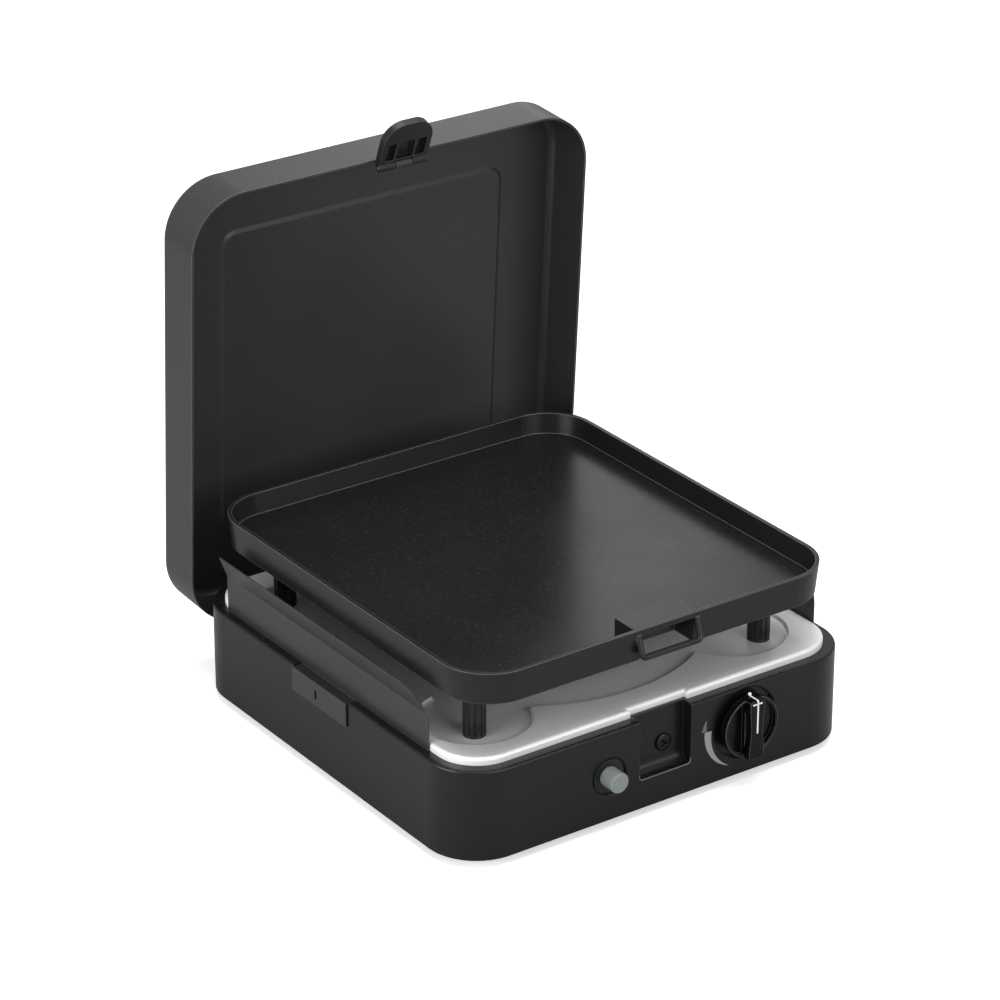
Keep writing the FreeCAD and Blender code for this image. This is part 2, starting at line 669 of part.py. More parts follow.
def make_case():
    body = new_body("CaseBody")
    outline = new_sketch(body, "XY_Plane", s.foot_height)
    inset_rectangle(outline, 0, s.case_corner)
    shell = pad(body, outline, s.case_height)
    rounded = dress(body, "Fillet", shell, at_level(case_top), s.case_edge)
    inner = new_sketch(body, "XY_Plane", case_top - s.ledge_thick)
    inset_rectangle(inner, s.case_wall, s.case_corner - s.case_wall)
    pocket(body, inner, s.case_height)
    opening = new_sketch(body, "XY_Plane", case_top)
    inset_rectangle(opening, s.ledge_width, s.case_corner - s.ledge_width)
    pocket(body, opening, s.case_height / 2)

    # Thicker wall behind the recess and the two dishes.
    backing = new_sketch(body, "XZ_Plane", half_depth - s.case_wall / 2)
    side = s.recess_width / 2 + s.boss_wall
    rectangle(backing, (-side, recess_low - s.boss_wall), (side, case_top - s.ledge_thick / 2))
    pad(body, backing, s.recess_depth + s.boss_wall - s.case_wall / 2, reverse=True)
    for x, z, radius, depth in (
        (s.dial_x, dial_z, s.dish_radius, s.dish_depth),
        (s.button_x, button_z, s.button_dish, s.button_dish_depth),
    ):
        disc = new_sketch(body, "XZ_Plane", half_depth - s.case_wall / 2)
        circle(disc, x, z, radius + s.dish_boss)
        pad(body, disc, depth + s.boss_wall - s.case_wall / 2, reverse=True)

    face = new_sketch(body, "XZ_Plane", half_depth)
    circle(face, s.dial_x, dial_z, s.dish_radius)
    dial = pocket(body, face, s.dish_depth)
    dress(body, "Chamfer", dial, ring_at(s.dish_radius, front), s.dish_bevel)
    face = new_sketch(body, "XZ_Plane", half_depth)
    circle(face, s.button_x, button_z, s.button_dish)
    dish = pocket(body, face, s.button_dish_depth)
    dress(body, "Chamfer", dish, ring_at(s.button_dish, front), s.dish_bevel)

    half = s.recess_width / 2
    slot = new_sketch(body, "XZ_Plane", half_depth)
    rectangle(slot, (-half, recess_low), (half, case_top + TINY))
    recess = pocket(body, slot, s.recess_depth)
    dress(body, "Fillet", recess, on_line(recess_back, recess_low), s.recess_sweep)

    holes = new_sketch(body, "XZ_Plane", half_depth)
    circle(holes, s.dial_x, dial_z, s.spindle_radius + 3)
    circle(holes, s.button_x, button_z, s.igniter_barrel + s.running_fit)
    circle(holes, s.catch_x, case_top - s.catch_drop, s.screw_radius + s.screw_gap)
    pocket(body, holes, s.recess_depth + s.boss_wall + TINY)

    rear = new_sketch(body, "XZ_Plane", -half_depth)
    circle(rear, s.inlet_x, s.inlet_height, s.inlet_thread + s.running_fit)
    pocket(body, rear, s.case_wall + TINY, reverse=True)

    slots = new_sketch(body, "XZ_Plane", -(half_depth + TINY))
    for x in (-arm_x, arm_x):
        rectangle(slots, (x - s.hinge_slot / 2, pivot_z - s.hinge_slot_below),
                  (x + s.hinge_slot / 2, case_top + TINY))
    pocket(body, slots, s.pivot_inset + 10, reverse=True)

    notch = new_sketch(body, "XY_Plane", case_top + TINY)
    near, far = s.tab_middle - s.tab_length / 2 - TINY, s.tab_middle + s.tab_length / 2 + TINY
    for sign in (-1, 1):
        ends = sorted((sign * (shield_in - TINY), sign * (half_width + TINY)), key=float)
        rectangle(notch, (ends[0], near), (ends[1], far))
    pocket(body, notch, s.tab_recess + TINY)

    posts = new_sketch(body, "XY_Plane", pan_top)
    for x, y in post_centres():
        circle(posts, x, y, s.post_radius)
    pad(body, posts, case_top - s.ledge_thick - pan_top)
    bores = new_sketch(body, "XY_Plane", pan_top)
    for x, y in post_centres():
        circle(bores, x, y, s.screw_radius + s.screw_gap)
    pocket(body, bores, s.screw_bite + 2, reverse=True)
    return keep(body, "case")


def make_bottom():
    body = new_body("PanBody")
    outline = new_sketch(body, "XY_Plane", pan_low)
    inset = s.case_wall + s.pan_gap
    inset_rectangle(outline, inset, s.case_corner - inset)
    pad(body, outline, s.pan_sheet)
    holes = new_sketch(body, "XY_Plane", pan_top)
    for x, y in post_centres():
        circle(holes, x, y, s.screw_radius + s.screw_gap)
    for x, y in foot_centres():
        circle(holes, x, y, s.screw_head)
    for sign in (-1, 1):
        circle(holes, 0, sign * bracket_screw_y, s.screw_radius + s.screw_gap)
    circle(holes, holder_screw_x, 0, s.screw_radius + s.screw_gap)
    pocket(body, holes, None)
    vents = new_sketch(body, "XY_Plane", pan_top)
    first = -s.vent_pitch * (s.vent_count - 1) / 2 - s.vent_length
    rectangle(vents, (-s.vent_length - s.vent_start, first), (-s.vent_start, first + s.vent_width))
    slot = pocket(body, vents, None)
    row = body.newObject("PartDesign::LinearPattern", "Vents")
    row.Originals = [slot]
    row.Direction = (vents, ["V_Axis"])
    bind(row, "Length", s.vent_pitch * (s.vent_count - 1))
    bind(row, "Occurrences", s.vent_count)
    body.Tip = row
    keep(body, "bottom_pan")

    screws = [screw(x, y, pan_low, True, s.pan_sheet + s.screw_bite) for x, y in post_centres()]
    keep(group(screws), "pan_screw")
    feet = []
    for x, y in foot_centres():
        disc = rod((x, y, 0), "z", s.foot_radius, pan_low)
        stud = rod((x, y, 0), "z", s.screw_head, pan_top)
        cap = rod((x, y, pan_top), "z", s.screw_head + 1, s.screw_head_height)
        feet.append(fuse([disc, stud, cap]))
    keep(group(feet), "foot")


def make_tray():
    body = new_body("TrayBody")
    skirt = new_sketch(body, "XY_Plane", case_top)
    inset_rectangle(skirt, s.tray_inset, s.tray_corner)
    pad(body, skirt, s.field_rise)
    lip_inset = s.ledge_width + s.tray_gap
    lip_corner = s.tray_corner - (lip_inset - s.tray_inset)
    lip = new_sketch(body, "XY_Plane", case_top - s.tray_lip)
    inset_rectangle(lip, lip_inset, lip_corner)
    pad(body, lip, s.tray_lip + TINY)
    under = field - s.tray_sheet
    wall = new_sketch(body, "XY_Plane", under)
    inset_rectangle(wall, s.tray_inset + s.tray_fold, s.tray_corner - s.tray_fold)
    inset_rectangle(wall, lip_inset, lip_corner)
    pocket(body, wall, s.field_rise)
    inside = new_sketch(body, "XY_Plane", under)
    inset_rectangle(inside, lip_inset + s.tray_sheet, lip_corner - s.tray_sheet)
    pocket(body, inside, s.field_rise + s.tray_lip)

    # The skirt steps back behind the latch recess.
    half = s.step_width / 2
    step_back = front + s.tray_inset + s.step_depth
    backing = new_sketch(body, "XY_Plane", case_top)
    rectangle(backing, (-half - s.tray_fold, front + s.tray_inset + s.tray_fold / 2),
              (half + s.tray_fold, step_back + s.tray_fold))
    pad(body, backing, s.field_rise - s.tray_sheet / 2)
    step = new_sketch(body, "XY_Plane", field + TINY)
    rectangle(step, (-half, front), (half, step_back))
    notched = pocket(body, step, s.field_rise + 2 * TINY)
    dress(body, "Fillet", notched, at_level(field), s.tray_round)

    for wide, shape in ((s.well_radius, round_circle), (s.lobe_radius, lobe_circles)):
        cup = new_sketch(body, "XY_Plane", well - s.tray_sheet)
        shape(cup, wide)
        pad(body, cup, s.well_depth + s.tray_sheet / 2)
    for wide, shape in ((s.well_radius, round_circle), (s.lobe_radius, lobe_circles)):
        hollow = new_sketch(body, "XY_Plane", field)
        shape(hollow, wide - s.tray_sheet)
        basin = pocket(body, hollow, s.well_depth)
    dress(body, "Fillet", basin, at_level(well), s.well_round)
    holes = new_sketch(body, "XY_Plane", field)
    circle(holes, 0, 0, s.tray_hole)
    circle(holes, probe_x, probe_y, s.probe_radius + s.running_fit)
    circle(holes, -probe_x, probe_y, s.spark_sleeve + s.running_fit)
    pocket(body, holes, None)
    keep(body, "tray")


def round_circle(sketch, radius):
    circle(sketch, s.grid_x, s.grid_y, radius)


def lobe_circles(sketch, radius):
    for sx in (-1, 1):
        for sy in (-1, 1):
            circle(sketch, s.grid_x + sx * s.lobe_x, s.grid_y + sy * s.lobe_y, radius)


def make_knob():
    body = new_body("KnobBody")
    level = -knob_back
    disc = new_sketch(body, "XZ_Plane", level)
    circle(disc, s.dial_x, dial_z, s.knob_radius)
    pad(body, disc, s.knob_skirt)
    hollow = new_sketch(body, "XZ_Plane", level + s.knob_skirt)
    circle(hollow, s.dial_x, dial_z, s.knob_radius - s.knob_rim)
    pocket(body, hollow, s.knob_pocket)
    grip = new_sketch(body, "XZ_Plane", level)
    reach = s.knob_radius + TINY
    half = s.bar_width / 2
    rectangle(grip, (s.dial_x - half, dial_z - reach), (s.dial_x + half, dial_z + reach))
    pad(body, grip, s.bar_height)
    trim = new_sketch(body, "XZ_Plane", level + s.bar_height)
    circle(trim, s.dial_x, dial_z, s.knob_radius)
    circle(trim, s.dial_x, dial_z, s.knob_radius * 2)
    pocket(body, trim, s.bar_height)
    sides = new_sketch(body, "XZ_Plane", level + s.bar_height)
    away = half + s.bar_sweep - s.bar_waist
    circle(sides, s.dial_x - away, dial_z, s.bar_sweep)
    circle(sides, s.dial_x + away, dial_z, s.bar_sweep)
    round_bar = pocket(body, sides, s.bar_height - s.knob_skirt)
    dress(body, "Fillet", round_bar, at_level(foremost, "y"), s.bar_round)
    bore = new_sketch(body, "XZ_Plane", level)
    circle(bore, s.dial_x, dial_z, s.spindle_radius)
    pocket(body, bore, s.spindle_grip, reverse=True)
    keep(body, "knob")
    start = knob_back - s.spindle_grip
    end = valve_front + s.valve_length / 2
    keep(rod((s.dial_x, start, dial_z), "y", s.spindle_radius, end - start), "valve_spindle")
    keep(rod((s.dial_x, end, dial_z), "y", s.rod_radius, s.rod_length), "magnet_rod")


def make_igniter():
    button = new_body("ButtonBody")
    ring = new_sketch(button, "XZ_Plane", half_depth + s.button_proud - s.button_length)
    circle(ring, s.button_x, button_z, s.button_radius)
    stem = pad(button, ring, s.button_length)
    dress(button, "Fillet", stem, at_level(front - s.button_proud, "y"), s.button_round)
    keep(button, "igniter_button")
    face = button_floor - s.flange_thick
    flange = rod((s.button_x, face, button_z), "y", s.igniter_flange, s.flange_thick)
    barrel = rod((s.button_x, face, button_z), "y", s.igniter_barrel,
                 s.igniter_length + s.flange_thick)
    bore = rod((s.button_x, face - TINY, button_z), "y", s.button_radius + s.running_fit,
               s.igniter_bore + TINY)
    keep(cut(fuse([flange, barrel]), [bore]), "igniter_body")
    seat = button_floor + s.boss_wall
    nut = hexagon((s.button_x, seat, button_z), "y", s.nut_radius, s.nut_thick)
    hole = rod((s.button_x, seat - TINY, button_z), "y", s.igniter_barrel, s.nut_thick + 2 * TINY)
    keep(cut(nut, [hole]), "igniter_nut")
    catch_z = case_top - s.catch_drop
    head = rod((s.catch_x, recess_back - s.catch_proud, catch_z), "y", s.catch_head, s.catch_proud)
    shank = rod((s.catch_x, recess_back - TINY, catch_z), "y", s.screw_radius,
                s.boss_wall + s.screw_head_height + TINY)
    keep(fuse([head, shank]), "catch_screw")


def make_windshield(sign, label):
    body = new_body("ShieldBody")
    ahead = s.shield_front + s.shield_lead if sign > 0 else s.shield_front
    profile = new_sketch(body, "XZ_Plane", ahead)
    bend_z = case_top + s.shield_rise
    lean_x, lean_z = s.shield_flare * sine(s.shield_angle), s.shield_flare * cosine(s.shield_angle)
    across, down = s.shield_sheet * cosine(s.shield_angle), s.shield_sheet * sine(s.shield_angle)
    outline = [
        (shield_in, case_top), (shield_out, case_top), (shield_out, bend_z),
        (shield_in + lean_x + across, bend_z + lean_z - down),
        (shield_in + lean_x, bend_z + lean_z), (shield_in, bend_z),
    ]
    polygon(profile, [(sign * x, z) for x, z in outline])
    pad(body, profile, ahead + s.shield_back, reverse=True)

    near, far = s.tab_middle - s.tab_length / 2, s.tab_middle + s.tab_length / 2
    hook_out = half_width + s.tab_gap + s.shield_sheet
    hook = new_sketch(body, "XZ_Plane", -near)
    polygon(hook, [(sign * x, z) for x, z in (
        (shield_in, tab_low), (half_width + s.tab_gap, tab_low),
        (half_width + s.tab_gap, tab_low - s.tab_drop), (hook_out, tab_low - s.tab_drop),
        (hook_out, tab_low + s.shield_sheet), (shield_out, tab_low + s.shield_sheet),
        (shield_out, case_top), (shield_in, case_top))])
    pad(body, hook, far - near, reverse=True)
    slot = new_sketch(body, "YZ_Plane", sign * (hook_out + TINY))
    middle = s.tab_middle + s.slot_offset
    slot_z = tab_low - s.tab_drop / 2
    rectangle(slot, (middle - s.slot_width / 2, slot_z - s.slot_height / 2),
              (middle + s.slot_width / 2, slot_z + s.slot_height / 2))
    pocket(body, slot, s.shield_sheet + 1.2 * TINY, reverse=sign < 0)

    top = bend_z + lean_z
    corner = s.shield_corner
    start = shield_in - s.corner_start if sign > 0 else -shield_out - lean_x - s.corner_start
    block = box((start, -ahead - TINY, top - corner),
                (start + s.corner_reach, -ahead + corner, top + TINY))
    disc = rod((start - TINY, -ahead + corner, top - corner), "x", corner,
               s.corner_reach + 2 * TINY)
    keep(cut(body, [cut(block, [disc])]), label)


def make_griddle():
    body = new_body("GriddleBody")

    def section(level, inset):
        sketch = new_sketch(body, "XY_Plane", level)
        wide, deep = s.grid_width / 2 - inset, s.grid_depth / 2 - inset
        rounded_rectangle(sketch, (s.grid_x - wide, s.grid_y - deep), (s.grid_x + wide, s.grid_y + deep),
                          s.grid_corner - inset)
        return sketch

    lean = s.grid_draft / s.grid_wall_height
    loft(body, "Additive", [section(grid_foot, s.grid_draft), section(grid_rim, 0)])
    loft(body, "Subtractive", [section(grid_rim, s.grid_wall),
                               section(grid_face, s.grid_wall + lean * s.grid_deep)])
    loft(body, "Subtractive", [
        section(grid_foot, s.grid_draft + s.grid_wall),
        section(grid_under, s.grid_draft + s.grid_wall - lean * (grid_under - grid_foot))])
    face = s.grid_y - s.grid_depth / 2
    half = s.pocket_width / 2
    wall = s.pocket_wall
    ledge = box((-half - wall, face + s.grid_draft + TINY, grid_foot),
                (half + wall, face + s.pocket_deep + wall, grid_rim - s.pocket_top + wall))
    hollow = box((-half, face - TINY, grid_foot - TINY),
                 (half, face + s.pocket_deep, grid_rim - s.pocket_top))
    bar_x = s.handle_width / 2 - s.handle_bar
    bar_y, bar_z = face - s.handle_proud, grid_rim - s.handle_drop
    root = (face + s.grid_wall / 2, grid_rim - s.pocket_top)
    handle = bent_rod([(-bar_x, *root), (-bar_x, bar_y, bar_z),
                       (bar_x, bar_y, bar_z), (bar_x, *root)], s.handle_bar, s.handle_bar * 1.4)
    parts = [cut(fuse([body, ledge]), [hollow]), handle]
    sleeves = []
    sleeve_top = well + s.sleeve_length
    for x, y in grid_legs():
        parts.append(cone((x, y, sleeve_top), "z", s.boss_foot, s.boss_top,
                          grid_under + TINY - sleeve_top))
        parts.append(rod((x, y, sleeve_top - s.stud_length), "z", s.stud_radius,
                         s.stud_length + TINY))
        sleeve = rod((x, y, well), "z", s.sleeve_radius, s.sleeve_length)
        cuts = [rod((x, y, sleeve_top - s.stud_length), "z", s.stud_radius, s.stud_length + TINY)]
        for i in range(int(s.sleeve_flutes.number)):
            turn = math.radians(360 * i / s.sleeve_flutes.number)
            cuts.append(rod((x + s.sleeve_radius * math.cos(turn),
                             y + s.sleeve_radius * math.sin(turn), well + 2),
                            "z", s.flute_radius, s.sleeve_length - 4))
        sleeves.append(cut(sleeve, cuts))
    keep(fuse(parts), "griddle")
    keep(group(sleeves), "griddle_sleeve")


def grid_legs():
    return [(s.grid_x + s.leg_x * sx, s.grid_y + s.leg_y * sy)
            for sx in (-1, 1) for sy in (-1, 1)]


def lid_form(low, top, inset):
    """The lid's outer or inner form, with the pressed panel sunk into its top."""
    body = new_body("LidForm")
    middle = half_depth + s.lid_back - lid_depth / 2

    def section(level, wide, deep, radius):
        sketch = new_sketch(body, "XY_Plane", level)
        rounded_rectangle(sketch, (-wide, middle - deep), (wide, middle + deep), radius)
        return sketch

    outline = section(low, lid_half - inset, lid_depth / 2 - inset, s.lid_corner - inset)
    form = pad(body, outline, top - low)
    dress(body, "Fillet", form, at_level(top), s.lid_edge - inset)
    half = s.panel_width / 2
    inner, small = half - s.panel_bevel, s.panel_corner - s.panel_bevel
    loft(body, "Subtractive", [section(top, half, half, s.panel_corner),
                               section(top - s.panel_step, inner, inner, small)])
    return body


def make_lid():
    middle = half_depth + s.lid_back - lid_depth / 2
    lid_top = case_top + s.lid_height
    outer = lid_form(case_top, lid_top, as_size(0))
    core = lid_form(case_top - TINY, lid_top - s.lid_sheet, s.lid_sheet)
    wall = half_depth + s.lid_back - s.lid_sheet
    holes = [rod((x, wall - TINY, z), "y", s.rivet_radius, s.lid_sheet + 2 * TINY)
             for x, z in rivet_places()]
    shell = cut(outer, [core, *holes])
    face = middle - lid_depth / 2
    pin_y, pin_z = face + s.lug_radius, case_top - s.lug_drop
    half = s.lug_width / 2
    lug = box((-half, face, pin_z), (half, face + 2 * s.lug_radius, case_top + s.lug_drop))
    eye = rod((-half, pin_y, pin_z), "x", s.lug_radius, s.lug_width)
    bore = rod((-half - TINY, pin_y, pin_z), "x", s.latch_pin, s.lug_width + 2 * TINY)
    keep(cut(fuse([shell, lug, eye]), [bore]), "lid", LID_OPEN)

    rivets = []
    for x, z in rivet_places():
        seat = half_depth + s.lid_back
        length = s.lid_sheet + s.arm_flange_sheet
        rivets.append(fuse([
            rod((x, seat, z), "y", s.rivet_head, s.rivet_head_height),
            rod((x, seat - length - TINY, z), "y", s.rivet_radius, length + 2 * TINY),
            rod((x, seat - length - s.rivet_head_height, z), "y", s.rivet_head,
                s.rivet_head_height)]))
    keep(group(rivets), "hinge_rivet", LID_OPEN)
    make_latch(pin_y, pin_z)


def rivet_places():
    z = case_top + s.arm_reach / 2 + 2
    near, far = arm_x - s.arm_flange * 0.6, arm_x + s.arm_flange * 0.6
    return [(x * sign, z) for sign in (-1, 1) for x in (near, far)]


def make_latch(pin_y, pin_z):
    half = s.latch_width / 2
    outer = pin_y - s.lug_radius - 1.3
    inner = outer + s.latch_thick
    tip = pin_z - s.latch_length
    body = new_body("LatchBody")
    plate = new_sketch(body, "XZ_Plane", -outer)
    rectangle(plate, (-half, tip), (half, pin_z))
    flap = pad(body, plate, s.latch_thick, reverse=True)

    def tip_corner(edge):
        return at_level(tip)(edge) and edge.BoundBox.XLength < 0.01

    dress(body, "Fillet", flap, tip_corner, s.latch_width / 2.6)
    window = new_sketch(body, "XZ_Plane", -inner)
    low = pin_z - s.lug_radius - 2 - s.latch_window
    rectangle(window, (-half + s.latch_frame, low), (half - s.latch_frame, low + s.latch_window))
    pocket(body, window, s.latch_thick - s.latch_floor, reverse=True)
    gap = half - s.lug_width / 2 - TINY
    slot = box((-half + gap, outer - TINY, pin_z - s.lug_radius - TINY),
               (half - gap, pin_y + s.lug_radius + TINY, pin_z + 2 * s.lug_radius))
    ribs = [box((x - s.latch_rib / 2, outer + TINY, low - TINY),
                (x + s.latch_rib / 2, inner - 0.6, low + s.latch_window + TINY))
            for x in (-half / 2.6, half / 2.6)]
    knuckle = s.lug_radius - 0.3
    hub = rod((-half, pin_y, pin_z), "x", knuckle, s.latch_width)
    bore = rod((-half - TINY, pin_y, pin_z), "x", s.latch_pin + s.running_fit,
               s.latch_width + 2 * TINY)
    swung = LID_OPEN.multiply(swing(pin_y, pin_z, -s.latch_angle))
    keep(cut(fuse([body, hub, *ribs]), [slot, bore]), "latch", swung)
    keep(rod((-half, pin_y, pin_z), "x", s.latch_pin, s.latch_width), "latch_pin", LID_OPEN)


def make_hinges():
    wall = pivot_y + lid_rear - s.lid_sheet
    arms, brackets, pins = [], [], []
    for sign in (-1, 1):
        x = sign * arm_x
        low_x, high_x = x - s.arm_sheet / 2, x + s.arm_sheet / 2
        body = new_body("ArmBody")
        plate = new_sketch(body, "YZ_Plane", low_x)
        rim = case_top
        slant = s.arm_eye * 0.7
        polygon(plate, [(pivot_y - slant, pivot_z + slant), (pivot_y + slant, pivot_z - slant),
                        (wall, pivot_z + s.lid_edge + slant), (wall, rim + s.arm_reach),
                        (wall - s.arm_strip, rim + s.arm_reach), (wall - s.arm_strip, rim)])
        pad(body, plate, s.arm_sheet)
        eye = rod((low_x, pivot_y, pivot_z), "x", s.arm_eye, s.arm_sheet)
        wide = s.arm_flange
        flange = box((x - wide, wall - s.arm_flange_sheet, rim + 4),
                     (x + wide, wall, rim + s.arm_reach))
        cuts = [rod((low_x - TINY, pivot_y, pivot_z), "x", s.pin_radius + s.running_fit,
                    s.arm_sheet + 2 * TINY)]
        for rx, rz in rivet_places():
            if rx.number * sign > 0:
                cuts.append(rod((rx, wall - s.arm_flange_sheet - TINY, rz), "y",
                                s.rivet_radius, s.arm_flange_sheet + 2 * TINY))
        arms.append(cut(fuse([body, eye, flange]), cuts))

        inside = half_depth - s.case_wall
        ear_low, ear_high = pivot_z - s.arm_eye - 3, pivot_z + s.arm_eye + 3
        ear_front = pivot_y - s.arm_eye - TINY - s.ear_sheet
        near = s.arm_sheet / 2 + s.ear_gap
        outer = near + s.ear_sheet
        blocks = [box((x - outer, ear_front, ear_low), (x + outer, ear_front + s.ear_sheet, ear_high))]
        for first, last in ((-outer, -near), (near, outer)):
            blocks.append(box((x + first, ear_front, ear_low), (x + last, inside, ear_high)))
        for first, last in ((-outer - 11, -near), (near, outer + 11)):
            blocks.append(box((x + first, inside - s.ear_sheet, ear_low),
                              (x + last, inside, ear_high)))
        bore = rod((x - outer - TINY, pivot_y, pivot_z), "x", s.pin_radius, 2 * outer + 2 * TINY)
        brackets.append(cut(fuse(blocks), [bore]))
        pins.append(rod((x - outer - TINY, pivot_y, pivot_z), "x", s.pin_radius,
                        2 * outer + 2 * TINY))
    keep(group(arms), "hinge_arm", LID_OPEN)
    keep(group(brackets), "hinge_bracket")
    keep(group(pins), "hinge_pin")


def make_burner():
    top = bowl_top
    outer = s.tray_hole + s.bowl_wall
    inner = s.bowl_foot - s.bowl_wall
    neck = top - s.ring_wall
    shell = cone((0, 0, bowl_low), "z", s.bowl_foot, outer, neck - bowl_low)
    collar = rod((0, 0, neck), "z", outer, s.ring_wall)
    flange = rod((0, 0, top - s.tray_sheet * 2), "z", s.bowl_radius, s.tray_sheet * 2)
    mixer = rod((0, 0, mixer_z), "x", s.mixer_radius, s.mixer_end)
    hollow = cone((0, 0, bowl_low + s.bowl_wall), "z", inner, s.tray_hole,
                  neck - bowl_low - s.bowl_wall)
    bore = rod((0, 0, mixer_z), "x", s.mixer_radius - s.mixer_wall, s.mixer_end + TINY)
    mouth = rod((0, 0, neck), "z", s.tray_hole, s.ring_wall + TINY)
    keep(cut(fuse([shell, collar, flange, mixer]), [hollow, bore, mouth]), "burner_bowl")

    ring_top = well + s.ring_height
    spigot = s.tray_hole - 0.5
    ring = new_body("RingBody")
    rim = new_sketch(ring, "XY_Plane", well)
    circle(rim, 0, 0, s.ring_radius)
    pad(ring, rim, s.ring_height)
    neck = new_sketch(ring, "XY_Plane", well - s.ring_wall)
    circle(neck, 0, 0, spigot)
    pad(ring, neck, s.ring_wall)
    bore = new_sketch(ring, "XY_Plane", ring_top)
    circle(bore, 0, 0, s.ring_radius - s.ring_wall)
    pocket(ring, bore, None)
    port = new_sketch(ring, "YZ_Plane", 0)
    rectangle(port, (-s.port_width / 2, ring_top - s.port_height),
              (s.port_width / 2, ring_top + TINY))
    first = pocket(ring, port, s.ring_radius + TINY, reverse=True)
    ports = ring.newObject("PartDesign::PolarPattern", "Ports")
    ports.Originals = [first]
    ports.Axis = (rim, ["N_Axis"])
    ports.Angle = 360
    bind(ports, "Occurrences", s.ring_ports)
    ring.Tip = ports
    keep(ring, "burner_ring")
    cap = new_body("CapBody")
    lid = new_sketch(cap, "XY_Plane", ring_top)
    circle(lid, 0, 0, s.cap_radius)
    plate = pad(cap, lid, s.cap_height)
    dress(cap, "Fillet", plate, at_level(ring_top + s.cap_height), s.cap_height / 2)
    plug = new_sketch(cap, "XY_Plane", ring_top)
    circle(plug, 0, 0, s.ring_radius - s.ring_wall - 0.5)
    pad(cap, plug, s.ring_wall / 2, reverse=True)
    keep(cap, "burner_cap")

    wide, span = s.bracket_width / 2, s.bracket_span
    thick = s.bracket_sheet
    blocks = [box((-wide, -span, bowl_low - thick), (wide, span, bowl_low))]
    cuts, screws = [], []
    for sign in (-1, 1):
        low, high = sorted((sign * span, sign * (span - thick)), key=float)
        blocks.append(box((-wide, low, pan_top), (wide, high, bowl_low)))
        low, high = sorted((sign * (span - thick), sign * (span + s.bracket_foot)), key=float)
        blocks.append(box((-wide, low, pan_top), (wide, high, pan_top + thick)))
        y = sign * bracket_screw_y
        cuts.append(rod((0, y, pan_top - TINY), "z", s.screw_radius, thick + 2 * TINY))
        screws.append(screw(0, y, pan_top + thick, False, thick + s.pan_sheet + TINY))
    keep(cut(fuse(blocks), cuts), "burner_bracket")

    tip = s.mixer_end + s.jet_gap
    plate_x = tip + s.jet_length / 2
    high_x = plate_x + s.holder_sheet
    wide = s.holder_width / 2
    plate = box((plate_x, -wide, pan_top), (high_x, wide, mixer_z + wide))
    foot = box((plate_x, -wide, pan_top), (high_x + s.bracket_foot, wide, pan_top + thick))
    hole = rod((plate_x - TINY, 0, mixer_z), "x", s.jet_radius, s.holder_sheet + 2 * TINY)
    bore = rod((holder_screw_x, 0, pan_top - TINY), "z", s.screw_radius, thick + 2 * TINY)
    keep(cut(fuse([plate, foot]), [hole, bore]), "jet_holder")
    screws.append(screw(holder_screw_x, 0, pan_top + thick, False, thick + s.pan_sheet + TINY))
    keep(group(screws), "bracket_screw")
    collar = hexagon((high_x, 0, mixer_z), "x", s.jet_radius + 2, s.jet_radius)
    jet = rod((tip, 0, mixer_z), "x", s.jet_radius, s.jet_length)
    seat = rod((tip + s.jet_length - s.jet_radius, 0, mixer_z), "x", s.pipe_radius,
               s.jet_radius + TINY)
    nozzle = rod((tip - TINY, 0, mixer_z), "x", 0.6, s.jet_length)
    keep(cut(fuse([jet, collar]), [seat, nozzle]), "gas_jet")


